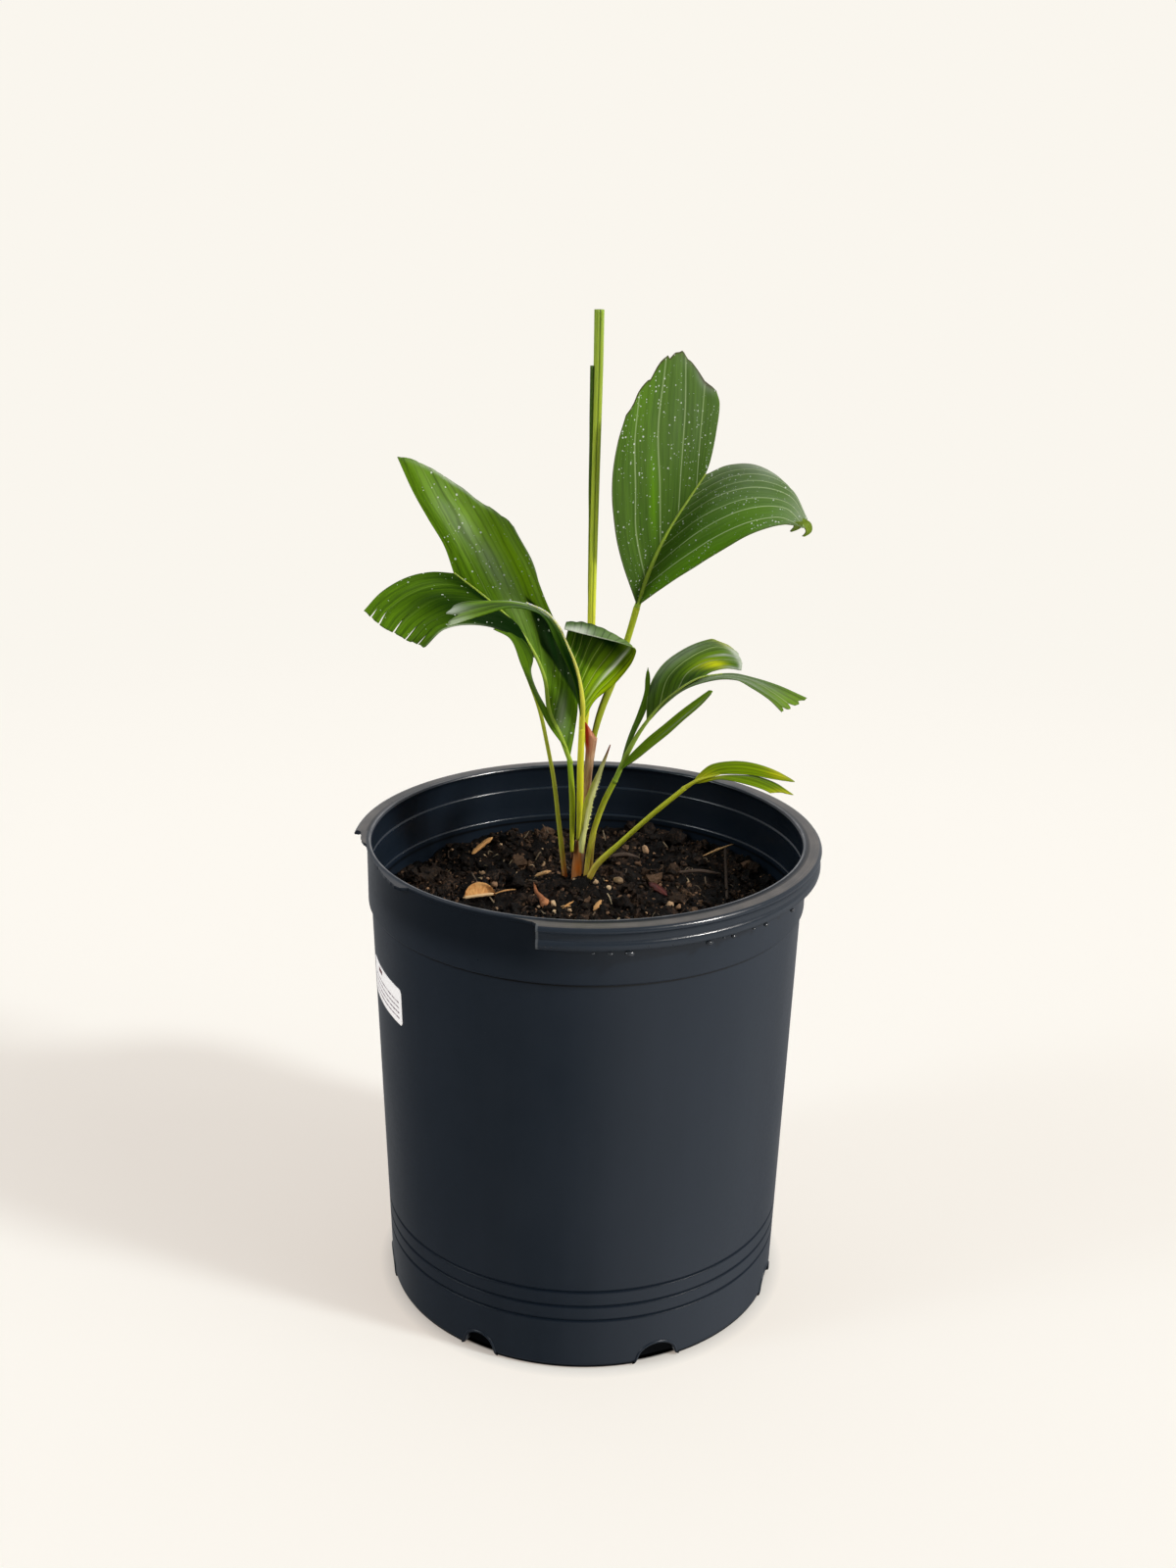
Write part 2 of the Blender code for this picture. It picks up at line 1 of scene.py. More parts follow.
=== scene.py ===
"""Looks of the young clumping palm in its nursery pot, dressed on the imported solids.

Metres, +Z up. Points and sizes in the tables below are in millimetres, as in the part's source.
"""

import math
import random

import bmesh
import bpy
import numpy as np
from mathutils import Matrix, Vector, noise


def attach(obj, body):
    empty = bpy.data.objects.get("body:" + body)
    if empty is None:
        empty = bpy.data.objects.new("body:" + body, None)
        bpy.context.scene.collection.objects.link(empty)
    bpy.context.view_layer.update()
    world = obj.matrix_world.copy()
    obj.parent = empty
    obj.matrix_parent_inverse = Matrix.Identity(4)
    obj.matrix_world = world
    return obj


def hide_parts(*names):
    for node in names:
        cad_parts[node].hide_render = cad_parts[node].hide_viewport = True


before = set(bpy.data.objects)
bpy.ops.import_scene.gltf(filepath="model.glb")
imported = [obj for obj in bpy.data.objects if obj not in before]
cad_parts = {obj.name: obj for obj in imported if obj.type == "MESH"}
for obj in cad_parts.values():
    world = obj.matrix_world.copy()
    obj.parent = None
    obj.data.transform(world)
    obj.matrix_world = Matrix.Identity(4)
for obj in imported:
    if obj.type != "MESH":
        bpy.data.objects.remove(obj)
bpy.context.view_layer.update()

MM = 0.001
TURN = 2.0 * math.pi


# Camera, stage and light

CAMERA_PLACE = (0.0, -0.9535, 0.6447)
CAMERA_LENS = 40.5
CAMERA_PITCH = 19.289
CAMERA_ROLL = 0.845


def add_camera():
    pitch, roll = math.radians(CAMERA_PITCH), math.radians(CAMERA_ROLL)
    ahead = Vector((0.0, math.cos(pitch), -math.sin(pitch)))
    right = Vector((1.0, 0.0, 0.0))
    up = right.cross(ahead)
    side = math.cos(roll) * right + math.sin(roll) * up
    top = math.cos(roll) * up - math.sin(roll) * right
    camera = bpy.data.objects.new("photo_camera", bpy.data.cameras.new("photo_camera"))
    camera.data.lens = CAMERA_LENS
    camera.data.sensor_width = 36.0
    camera.data.dof.use_dof = False
    camera.data.clip_end = 60.0
    turn = Matrix((side, top, -ahead)).transposed().to_4x4()
    camera.matrix_world = Matrix.Translation(CAMERA_PLACE) @ turn
    bpy.context.scene.collection.objects.link(camera)
    bpy.context.scene.camera = camera


BACKDROP = (0.955, 0.922, 0.856)
FLOOR_PAINT = (0.42, 0.47, 0.48)
FLOOR_GLOW = (0.575, 0.490, 0.418)
FLOOR_REACH = 3.2
FLOOR_FADE = (0.75, 1.7)
# Close to the pot's foot the floor glows less, as a painted contact shadow: radii from and to, and the share that
# is left
FOOT_SHADE = (0.113, 0.126, 0.50)
UNDER_POT = (0.1128, 0.1144)
SWEEP = 1.1
WALL_HEIGHT = 3.0
SUNS = (
    # name, bearing in degrees anticlockwise from +X, height in degrees, strength, spread, colour
    ("key_broad", -22.0, 38.0, 0.60, 32.0, (1.0, 0.965, 0.92)),
    ("key_small", -23.7, 38.0, 1.95, 7.0, (1.0, 0.965, 0.92)),
    ("fill_broad", 199.0, 33.0, 0.40, 34.0, (0.93, 0.97, 1.0)),
    ("fill_small", 199.5, 33.0, 0.42, 12.0, (0.93, 0.97, 1.0)),
)
WORLD_COLOUR = (0.97, 0.98, 1.0)
WORLD_FRONT, WORLD_BACK = 0.12, 0.55
WORLD_RIGHT = 0.55


def add_lights():
    world = bpy.data.worlds.new("studio")
    world.use_nodes = True
    tree = world.node_tree
    ground = tree.nodes["Background"]
    ground.inputs["Color"].default_value = (*WORLD_COLOUR, 1.0)
    # The room is bright behind and above the plant, and dim on the camera's side
    way = tree.nodes.new("ShaderNodeTexCoord")
    split = tree.nodes.new("ShaderNodeSeparateXYZ")
    tree.links.new(way.outputs["Generated"], split.inputs[0])
    lean = tree.nodes.new("ShaderNodeMath")
    lean.operation = "MULTIPLY_ADD"
    tree.links.new(split.outputs[2], lean.inputs[0])
    lean.inputs[1].default_value = 0.7
    tree.links.new(split.outputs[1], lean.inputs[2])
    span = tree.nodes.new("ShaderNodeMapRange")
    span.interpolation_type = "SMOOTHSTEP"
    tree.links.new(lean.outputs[0], span.inputs["Value"])
    span.inputs["From Min"].default_value = -0.2
    span.inputs["From Max"].default_value = 1.2
    span.inputs["To Min"].default_value = WORLD_FRONT
    span.inputs["To Max"].default_value = WORLD_BACK
    # Mirrored low on the right, a little to the front, stands a broad pale board
    turned = tree.nodes.new("ShaderNodeMath")
    turned.operation = "MULTIPLY_ADD"
    tree.links.new(split.outputs[1], turned.inputs[0])
    turned.inputs[1].default_value = -0.5
    tree.links.new(split.outputs[0], turned.inputs[2])
    aside = tree.nodes.new("ShaderNodeMapRange")
    aside.interpolation_type = "SMOOTHSTEP"
    tree.links.new(turned.outputs[0], aside.inputs["Value"])
    aside.inputs["From Min"].default_value = 0.2
    aside.inputs["From Max"].default_value = 0.95
    aside.inputs["To Max"].default_value = WORLD_RIGHT
    low = tree.nodes.new("ShaderNodeMapRange")
    low.interpolation_type = "SMOOTHSTEP"
    tree.links.new(split.outputs[2], low.inputs["Value"])
    low.inputs["From Min"].default_value = -0.1
    low.inputs["From Max"].default_value = 0.3
    low.inputs["To Min"].default_value = 1.0
    low.inputs["To Max"].default_value = 0.15
    board = tree.nodes.new("ShaderNodeMath")
    board.operation = "MULTIPLY"
    tree.links.new(aside.outputs[0], board.inputs[0])
    tree.links.new(low.outputs[0], board.inputs[1])
    both = tree.nodes.new("ShaderNodeMath")
    both.operation = "ADD"
    tree.links.new(span.outputs[0], both.inputs[0])
    tree.links.new(board.outputs[0], both.inputs[1])
    tree.links.new(both.outputs[0], ground.inputs["Strength"])
    bpy.context.scene.world = world
    for name, bearing, height, strength, spread, colour in SUNS:
        data = bpy.data.lights.new(name, "SUN")
        data.energy = strength
        data.angle = math.radians(spread)
        data.color = colour
        lamp = bpy.data.objects.new(name, data)
        turn, rise = math.radians(bearing), math.radians(height)
        towards = Vector((math.cos(turn) * math.cos(rise), math.sin(turn) * math.cos(rise), math.sin(rise)))
        lamp.rotation_mode = "QUATERNION"
        lamp.rotation_quaternion = towards.to_track_quat("Z", "Y")
        bpy.context.scene.collection.objects.link(lamp)


def backdrop_paper():
    """Pale paper: lit, with a glow of its own, and evenly bright from some way off the plant."""
    material = bpy.data.materials.new("backdrop_paper")
    material.use_nodes = True
    tree = material.node_tree
    shader = tree.nodes["Principled BSDF"]
    shader.inputs["Roughness"].default_value = 0.9
    shader.inputs["Specular IOR Level"].default_value = 0.0
    shader.inputs["Emission Color"].default_value = (*FLOOR_GLOW, 1.0)
    shader.inputs["Emission Strength"].default_value = 1.0
    even = tree.nodes.new("ShaderNodeEmission")
    even.inputs["Color"].default_value = (*BACKDROP, 1.0)
    way = tree.nodes.new("ShaderNodeTexCoord")
    flat = tree.nodes.new("ShaderNodeVectorMath")
    flat.operation = "MULTIPLY"
    flat.inputs[1].default_value = (1.0, 1.0, 0.0)
    tree.links.new(way.outputs["Object"], flat.inputs[0])
    far = tree.nodes.new("ShaderNodeVectorMath")
    far.operation = "LENGTH"
    tree.links.new(flat.outputs[0], far.inputs[0])
    span = tree.nodes.new("ShaderNodeMapRange")
    span.interpolation_type = "SMOOTHSTEP"
    tree.links.new(far.outputs["Value"], span.inputs["Value"])
    span.inputs["From Min"].default_value, span.inputs["From Max"].default_value = FLOOR_FADE
    foot = tree.nodes.new("ShaderNodeMapRange")
    tree.links.new(far.outputs["Value"], foot.inputs["Value"])
    foot.inputs["From Min"].default_value, foot.inputs["From Max"].default_value = FOOT_SHADE[:2]
    foot.inputs["To Min"].default_value = FOOT_SHADE[2]
    # Under the pot, and so in its notches, the floor is painted black, as painted shade
    under = tree.nodes.new("ShaderNodeMapRange")
    tree.links.new(far.outputs["Value"], under.inputs["Value"])
    under.inputs["From Min"].default_value, under.inputs["From Max"].default_value = UNDER_POT
    glow = tree.nodes.new("ShaderNodeMath")
    glow.operation = "MULTIPLY"
    tree.links.new(foot.outputs[0], glow.inputs[0])
    tree.links.new(under.outputs[0], glow.inputs[1])
    tree.links.new(glow.outputs[0], shader.inputs["Emission Strength"])
    paint = tree.nodes.new("ShaderNodeVectorMath")
    paint.operation = "SCALE"
    paint.inputs[0].default_value = FLOOR_PAINT
    tree.links.new(under.outputs[0], paint.inputs["Scale"])
    tree.links.new(paint.outputs[0], shader.inputs["Base Color"])
    join = tree.nodes.new("ShaderNodeMixShader")
    tree.links.new(span.outputs[0], join.inputs[0])
    tree.links.new(shader.outputs[0], join.inputs[1])
    tree.links.new(even.outputs[0], join.inputs[2])
    tree.links.new(join.outputs[0], tree.nodes["Material Output"].inputs["Surface"])
    return material


def add_stage():
    """A pale floor that sweeps up into a wall all round. The wall stops no light."""
    material = backdrop_paper()
    sweep = [(FLOOR_REACH + SWEEP * math.sin(a), SWEEP * (1.0 - math.cos(a)))
             for a in np.linspace(0.0, math.pi / 2.0, 16)]
    rings = {"floor": [(0.001, 0.0), (0.4, 0.0), (FLOOR_REACH, 0.0)],
             "wall": sweep + [(FLOOR_REACH + SWEEP, WALL_HEIGHT)]}
    for name, profile in rings.items():
        sides = 96
        points = [(r * math.cos(TURN * i / sides), r * math.sin(TURN * i / sides), z)
                  for r, z in profile for i in range(sides)]
        faces = [(k * sides + i, k * sides + (i + 1) % sides,
                  (k + 1) * sides + (i + 1) % sides, (k + 1) * sides + i)
                 for k in range(len(profile) - 1) for i in range(sides)]
        mesh = bpy.data.meshes.new(f"backdrop_{name}")
        mesh.from_pydata(points, [], faces)
        mesh.materials.append(material)
        mesh.shade_smooth()
        piece = bpy.data.objects.new(f"backdrop_{name}", mesh)
        bpy.context.scene.collection.objects.link(piece)
        piece.visible_glossy = False
        if name == "wall":
            piece.visible_shadow = False
            piece.visible_diffuse = False


add_camera()
add_stage()
add_lights()
bpy.context.scene.view_settings.view_transform = "Standard"


# Materials

class Paint:
    """A material's node tree, with short calls for the nodes that the pieces here use."""

    def __init__(self, name, **values):
        self.material = bpy.data.materials.new(name)
        self.material.use_nodes = True
        self.tree = self.material.node_tree
        self.shader = self.tree.nodes["Principled BSDF"]
        for key, value in values.items():
            self.shader.inputs[key.replace("_", " ")].default_value = value

    def feed(self, socket, value):
        if isinstance(value, bpy.types.NodeSocket):
            self.tree.links.new(value, socket)
        elif isinstance(value, tuple) and len(value) == 3 and socket.type == "RGBA":
            socket.default_value = (*value, 1.0)
        else:
            socket.default_value = value

    def node(self, kind, inputs=None, **settings):
        made = self.tree.nodes.new(kind)
        for key, value in settings.items():
            setattr(made, key, value)
        for key, value in (inputs or {}).items():
            self.feed(made.inputs[key], value)
        return made

    def math(self, operation, a, b=0.0, c=0.0):
        return self.node("ShaderNodeMath", {0: a, 1: b, 2: c}, operation=operation).outputs[0]

    def mix(self, factor, a, b):
        made = self.node("ShaderNodeMix", {0: factor, 6: a, 7: b}, data_type="RGBA")
        return made.outputs[2]

    def span(self, value, low, high, to_low=0.0, to_high=1.0):
        """value from low to high, as to_low to to_high, smoothly and clamped."""
        made = self.node("ShaderNodeMapRange", {0: value, 1: low, 2: high, 3: to_low, 4: to_high},
                         interpolation_type="SMOOTHSTEP")
        return made.outputs[0]

    def ramp(self, value, *stops):
        made = self.node("ShaderNodeValToRGB", {0: value})
        marks = made.color_ramp.elements
        while len(marks) < len(stops):
            marks.new(0.5)
        for mark, (place, colour) in zip(marks, stops):
            mark.position = place
            mark.color = (*colour, 1.0)
        return made.outputs[0]

    def noise(self, vector, scale, detail=3.0, roughness=0.55, distortion=0.0):
        made = self.node("ShaderNodeTexNoise", {"Vector": vector, "Scale": scale, "Detail": detail,
                                                "Roughness": roughness, "Distortion": distortion})
        return made.outputs["Fac"]

    def place(self):
        return self.node("ShaderNodeTexCoord").outputs["Object"]

    def uv(self, stretch, shift=(0.0, 0.0, 0.0)):
        """The piece's own surface coordinates, stretched."""
        spot = self.node("ShaderNodeTexCoord").outputs["UV"]
        return self.node("ShaderNodeMapping", {"Vector": spot, "Scale": stretch,
                                               "Location": shift}).outputs[0]

    def stretched(self, stretch):
        return self.node("ShaderNodeMapping", {"Vector": self.place(), "Scale": stretch}).outputs[0]

    def marks(self, name):
        """The red, green and blue of a colour that each point of the mesh carries."""
        read = self.node("ShaderNodeAttribute", attribute_name=name)
        return self.node("ShaderNodeSeparateColor", {0: read.outputs["Color"]}).outputs

    def bump(self, height, distance, strength=1.0):
        made = self.node("ShaderNodeBump", {"Height": height, "Distance": distance,
                                            "Strength": strength})
        self.tree.links.new(made.outputs[0], self.shader.inputs["Normal"])

    def colour(self, value):
        self.feed(self.shader.inputs["Base Color"], value)

    def rough(self, value):
        self.feed(self.shader.inputs["Roughness"], value)


CREASE = 243.5
# Heights of the rounded edges that are rubbed shiny: inside the pot, and outside it on the flange
INNER_EDGES = ((265.4, 0.6, 1.2), (247.2, 0.6, 1.2), (280.3, 0.6, 1.1))
OUTER_EDGES = ((279.3, 0.8, 1.4), (271.3, 1.0, 1.8))


FLANGE_TONE = (0.034, 0.042, 0.053)
DUST_AND_SHEEN = (0.135, 0.121, 0.111)


def plastic():
    """Blue-black moulded plastic: satin, a little mottled, with a film of dust and shiny edges."""
    p = Paint("pot_plastic", Metallic=0.0, IOR=1.48)
    spot = p.place()
    cloud = p.noise(spot, 14.0, 4.0)
    fine = p.noise(spot, 420.0, 3.0)
    streak = p.noise(p.stretched((60.0, 60.0, 6.0)), 1.0, 4.0)
    tone = p.ramp(p.math("ADD", p.math("MULTIPLY", cloud, 0.6), p.math("MULTIPLY", streak, 0.4)),
                  (0.3, (0.0075, 0.0142, 0.0245)), (0.7, (0.0112, 0.0188, 0.0315)))
    dots = p.node("ShaderNodeTexVoronoi", {"Vector": spot, "Scale": 95.0})
    size = p.math("MULTIPLY", p.node("ShaderNodeSeparateColor", {0: dots.outputs["Color"]}).outputs[0], 0.07)
    dust = p.math("LESS_THAN", dots.outputs["Distance"], p.math("SUBTRACT", size, 0.045))
    tone = p.mix(p.math("MULTIPLY", dust, 0.35), tone, (0.16, 0.16, 0.15))
    # The crease under the band is painted dark, as painted shade
    height = p.node("ShaderNodeSeparateXYZ", {0: spot}).outputs[2]
    off = p.math("ABSOLUTE", p.math("SUBTRACT", height, CREASE * MM))
    tone = p.mix(p.span(off, 0.0003, 0.0010, 1.0, 0.0), tone, (0.0012, 0.0014, 0.0018))
    # The rings round the foot are painted dark too, as painted shade
    groove = 0.0
    for line in FOOT_LINES:
        off = p.math("ABSOLUTE", p.math("SUBTRACT", height, line * MM))
        groove = p.math("MAXIMUM", groove, p.span(off, 0.0005, 0.0017, 1.0, 0.0))
    tone = p.mix(p.math("MULTIPLY", groove, 0.36), tone, (0.0030, 0.0042, 0.0060))
    flat = p.node("ShaderNodeVectorMath", {0: spot, 1: (1.0, 1.0, 0.0)}, operation="MULTIPLY").outputs[0]
    reach = p.node("ShaderNodeVectorMath", {0: flat}, operation="LENGTH").outputs["Value"]
    # The insides of the drain notches and the edge that the pot stands on are painted black, as painted shade
    hollow = p.math("MULTIPLY", p.span(reach, 0.1146, 0.1157, 1.0, 0.0), p.math("LESS_THAN", height, 0.0128))
    hollow = p.math("MAXIMUM", hollow, p.span(height, 0.0016, 0.0030, 1.0, 0.0))
    tone = p.mix(p.math("MULTIPLY", hollow, 0.92), tone, (0.0004, 0.0006, 0.0008))
    axes = p.node("ShaderNodeSeparateXYZ", {0: spot}).outputs
    angle = p.math("MULTIPLY", p.math("ARCTAN2", axes[1], axes[0]), 360.0 / TURN)
    # The flange is painted a little paler than the wall, as painted light, and dust with a painted sheen lies on
    # its flat top
    side = p.math("GREATER_THAN", reach, 131.5 * MM)
    high = p.math("GREATER_THAN", height, 266.0 * MM)
    flange = p.math("MULTIPLY", side, high)
    tone = p.mix(p.math("MULTIPLY", flange, 0.38), tone, FLANGE_TONE)
    top = p.math("MULTIPLY", p.span(reach, 0.1264, 0.1276), p.span(height, 0.2800, 0.2803))
    # Less of it lies on the narrow strip that the break has left
    top = p.math("MULTIPLY", top, p.span(p.math("ABSOLUTE", p.math("ADD", angle, 136.0)), 24.0, 36.0, 0.35, 1.0))
    tone = p.mix(p.math("MULTIPLY", top, p.span(streak, 0.3, 0.7, 0.60, 0.95)), tone, DUST_AND_SHEEN)
    # The lip round the mouth is painted pale, as a painted highlight
    lip = p.span(p.math("ABSOLUTE", p.math("SUBTRACT", reach, 124.9 * MM)), 0.0003, 0.0008, 1.0, 0.0)
    lip = p.math("MULTIPLY", lip, p.math("GREATER_THAN", height, 280.4 * MM))
    tone = p.mix(p.math("MULTIPLY", lip, p.span(streak, 0.35, 0.65, 0.35, 0.9)), tone, (0.20, 0.20, 0.21))
    # Where the flange broke off, its end is painted pale, as stress whitening and a painted highlight, and the
    # wall beside it is painted dark, as painted shade
    end = p.math("MULTIPLY", flange, p.span(p.math("ABSOLUTE", p.math("ADD", angle, 100.9)), 0.25, 0.55, 1.0, 0.0))
    tone = p.mix(p.math("MULTIPLY", end, 0.8), tone, (0.10, 0.11, 0.12))
    break_shade = p.math("MULTIPLY", p.span(angle, -176.0, -140.0), p.span(angle, -106.0, -94.0, 1.0, 0.0))
    break_shade = p.math("MULTIPLY", break_shade, p.span(height, 0.246, 0.264))
    break_shade = p.math("MULTIPLY", break_shade, p.math("LESS_THAN", height, 279.5 * MM))
    wall = p.math("MULTIPLY", p.math("GREATER_THAN", reach, 125.6 * MM),
                  p.math("LESS_THAN", reach, 131.5 * MM))
    break_shade = p.math("MULTIPLY", break_shade, wall)
    # Close under the skirt the band lies in its shade
    under = p.math("MULTIPLY", p.span(height, 0.2615, 0.2665), p.math("LESS_THAN", reach, 128.0 * MM))
    under = p.math("MULTIPLY", p.math("MULTIPLY", under, wall), p.span(angle, -104.0, -98.0))
    tone = p.mix(p.math("MULTIPLY", under, 0.7), tone, (0.0016, 0.0026, 0.0042))
    tone = p.mix(p.math("MULTIPLY", break_shade, 0.48), tone, (0.0008, 0.0018, 0.0032))
    dull = p.math("MAXIMUM", p.math("MULTIPLY", break_shade, 0.44), p.math("MULTIPLY", groove, 0.85))
    dull = p.math("MAXIMUM", dull, p.math("MULTIPLY", hollow, 0.9))
    p.feed(p.shader.inputs["Specular IOR Level"], p.math("MULTIPLY_ADD", dull, -0.5, 0.5))
    p.colour(tone)
    shiny = 0.0
    for edges, side, limit in ((INNER_EDGES, "LESS_THAN", 125.9), (OUTER_EDGES, "GREATER_THAN", 132.0)):
        here = p.math(side, reach, limit * MM)
        for at, core, fade in edges:
            away = p.math("ABSOLUTE", p.math("SUBTRACT", height, at * MM))
            edge = p.math("MULTIPLY", p.span(away, core * MM, fade * MM, 1.0, 0.0), here)
            shiny = p.math("MAXIMUM", shiny, edge)
    worn = p.span(p.noise(p.stretched((160.0, 160.0, 60.0)), 1.0, 3.0), 0.36, 0.56, 0.60, 1.0)
    shiny = p.math("MULTIPLY", shiny, worn)
    satin = p.span(p.math("ADD", cloud, p.math("MULTIPLY", fine, 0.35)), 0.35, 0.95, 0.27, 0.40)
    p.rough(p.math("MULTIPLY_ADD", p.math("SUBTRACT", 0.15, satin), shiny, satin))
    # Rubbed edges are brushed along the rim, so their highlights run along it
    p.feed(p.shader.inputs["Anisotropic"], p.math("MULTIPLY", shiny, 0.85))
    p.feed(p.shader.inputs["Tangent"], p.node("ShaderNodeTangent", direction_type="RADIAL", axis="Z").outputs[0])
    p.bump(p.math("ADD", fine, p.math("MULTIPLY", cloud, 0.8)), 0.00004, 0.7)
    return p.material


def mix_of_soil(name, dark, light):
    """Damp bark and peat: near black, with each lump's own shade."""
    p = Paint(name, Metallic=0.0)
    p.shader.inputs["Specular IOR Level"].default_value = 0.14
    spot = p.place()
    own = p.marks("shade")
    grain = p.noise(spot, 700.0, 5.0, 0.7)
    patch = p.noise(spot, 60.0, 3.0)
    tone = p.mix(p.span(p.math("ADD", p.math("MULTIPLY", grain, 0.7), p.math("MULTIPLY", patch, 0.3)),
                        0.47, 0.62), dark, light)
    tone = p.mix(own[0], tone, (0.260, 0.150, 0.085))
    # The second share darkens to near black: damp peat, and on crumbs partly painted shade
    p.colour(p.mix(own[1], tone, (0.0016, 0.0010, 0.0008)))
    p.rough(p.span(grain, 0.3, 0.7, 0.36, 0.80))
    p.bump(grain, 0.0007, 1.0)
    return p.material


def litter(name, dark, light, along=(30.0, 30.0, 30.0), rough=0.8):
    """Bark, wood and stone bits, with fibres along each piece's own length."""
    p = Paint(name, Metallic=0.0)
    own = p.marks("shade")
    grain = p.noise(p.uv(along), 1.0, 4.0, 0.65)
    spots = p.noise(p.place(), 600.0, 3.0)
    tone = p.mix(p.span(grain, 0.35, 0.68), dark, light)
    tone = p.mix(p.math("MULTIPLY", own[1], 0.8), tone, (0.02, 0.011, 0.006))
    p.colour(p.mix(p.math("MULTIPLY", own[0], 0.7), tone, (0.88, 0.70, 0.42)))
    p.rough(p.span(spots, 0.3, 0.7, rough - 0.12, rough + 0.12))
    p.bump(p.math("ADD", grain, spots), 0.00022, 0.9)
    return p.material


SPECK = (0.74, 0.80, 0.72)
PAINTED_SHEEN = (0.30, 0.36, 0.27)
GLARE = (0.80, 0.86, 0.74)
MARGIN = (0.055, 0.030, 0.018)
SHADE = (0.004, 0.022, 0.002)


def leaf_paint(name, dark, mid, bright, yellow, vein, vein_part, rough=0.34, seed=0.0,
               stripes=(3.0, 0.4), speck_scale=620.0, through=0.09):
    """A pleated leaf. Its points carry tint (bright, yellow, painted_sheen), marks (vein, margin, shade)
    and spots (specks, glare). Along u a whole number is a vein, and v runs from the rib outwards.
    Bright is partly painted light, painted_sheen a painted sheen, shade painted shade and glare a painted
    highlight."""
    p = Paint(name, Metallic=0.0, IOR=1.45, Specular_Tint=(0.92, 1.0, 0.55, 1.0))
    tint, marks, spots = p.marks("tint"), p.marks("marks"), p.marks("spots")
    u = p.node("ShaderNodeSeparateXYZ", {0: p.uv((1.0, 1.0, 1.0))}).outputs[0]
    broad = p.noise(p.uv((1.6, 0.9, 1.0), (seed, seed, 0.0)), 1.0, 3.0)
    streak = p.noise(p.uv((11.0, 0.9, 1.0), (seed, 0.0, 0.0)), 1.0, 3.0, 0.6)
    fibre = p.noise(p.uv((52.0, 2.4, 1.0), (seed, 0.0, 0.0)), 1.0, 2.0)
    blotch = p.noise(p.place(), 85.0, 4.0)
    waver = p.math("MULTIPLY", p.noise(p.uv((1.7, 1.1, 1.0), (seed, seed, 0.0)), 1.0, 3.0), 9.0)
    band = p.math("SINE", p.math("MULTIPLY_ADD", u, TURN * stripes[0], waver))
    band = p.math("MULTIPLY_ADD", band, 0.5, 0.5)
    tone = p.mix(p.span(p.math("ADD", p.math("MULTIPLY", streak, 0.6), p.math("MULTIPLY", broad, 0.4)),
                        0.38, 0.62), dark, mid)
    tone = p.mix(p.math("MULTIPLY", p.span(fibre, 0.45, 0.75), 0.30), tone, bright)
    tone = p.mix(p.math("MULTIPLY", tint[0], p.span(streak, 0.2, 0.6, 0.65, 1.0)), tone, bright)
    tone = p.mix(p.math("MULTIPLY", tint[1], p.span(streak, 0.2, 0.6, 0.75, 1.0)), tone, yellow)
    sheen_part = p.math("MULTIPLY", tint[2], p.span(blotch, 0.30, 0.62, 0.55, 1.0))
    tone = p.mix(sheen_part, tone, PAINTED_SHEEN)
    furrow = p.math("MULTIPLY", p.math("POWER", band, 5.0), stripes[1])
    tone = p.mix(furrow, tone, p.mix(0.62, tone, (0.004, 0.012, 0.002)))
    tone = p.mix(marks[2], tone, SHADE)
    off = p.math("ABSOLUTE", p.math("SUBTRACT", p.math("FRACT", p.math("ADD", u, 0.5)), 0.5))
    line = p.math("MULTIPLY", p.math("MULTIPLY", marks[0], vein_part), p.span(off, 0.016, 0.046, 1.0, 0.0))
    line = p.math("MULTIPLY", line, p.math("SUBTRACT", 1.0, marks[2]))
    tone = p.mix(line, tone, vein)
    dots = p.node("ShaderNodeTexVoronoi", {"Vector": p.place(), "Scale": speck_scale})
    roll = p.node("ShaderNodeSeparateColor", {0: dots.outputs["Color"]}).outputs
    reach = p.math("MULTIPLY", p.math("POWER", roll[0], 5.0), 0.26)
    spot = p.math("LESS_THAN", dots.outputs["Distance"], p.math("ADD", reach, 0.10))
    crowd = p.span(p.noise(p.place(), 34.0, 2.0), 0.38, 0.62, 0.40, 1.0)
    shown = p.math("LESS_THAN", roll[1], p.math("MULTIPLY", spots[0], crowd))
    tone = p.mix(p.math("MULTIPLY", p.math("MULTIPLY", spot, shown), 0.85), tone, SPECK)
    glare = p.math("MULTIPLY", spots[1], p.span(fibre, 0.35, 0.6, 0.55, 1.0))
    tone = p.mix(glare, tone, GLARE)
    tone = p.mix(p.math("MULTIPLY", marks[1], 0.9), tone, MARGIN)
    p.colour(tone)
    p.rough(p.span(p.math("ADD", streak, p.math("MULTIPLY", sheen_part, 0.6)), 0.3, 1.1, rough, rough + 0.20))
    p.feed(p.shader.inputs["Specular IOR Level"], p.span(marks[2], 0.0, 0.8, 0.17, 0.04))
    rib = p.math("ADD", p.math("MULTIPLY", streak, 0.7), p.math("MULTIPLY", fibre, 0.5))
    rib = p.math("ADD", rib, p.math("MULTIPLY", band, 0.6 * stripes[1]))
    p.bump(p.math("ADD", rib, p.math("MULTIPLY", line, 0.5)), 0.00030, 0.8)
    glow = p.node("ShaderNodeBsdfTranslucent", {"Color": p.mix(marks[2], p.mix(0.4, tone, yellow), SHADE)})
    join = p.node("ShaderNodeMixShader", {0: through, 1: p.shader.outputs[0], 2: glow.outputs[0]})
    p.tree.links.new(join.outputs[0], p.tree.nodes["Material Output"].inputs["Surface"])
    return p.material


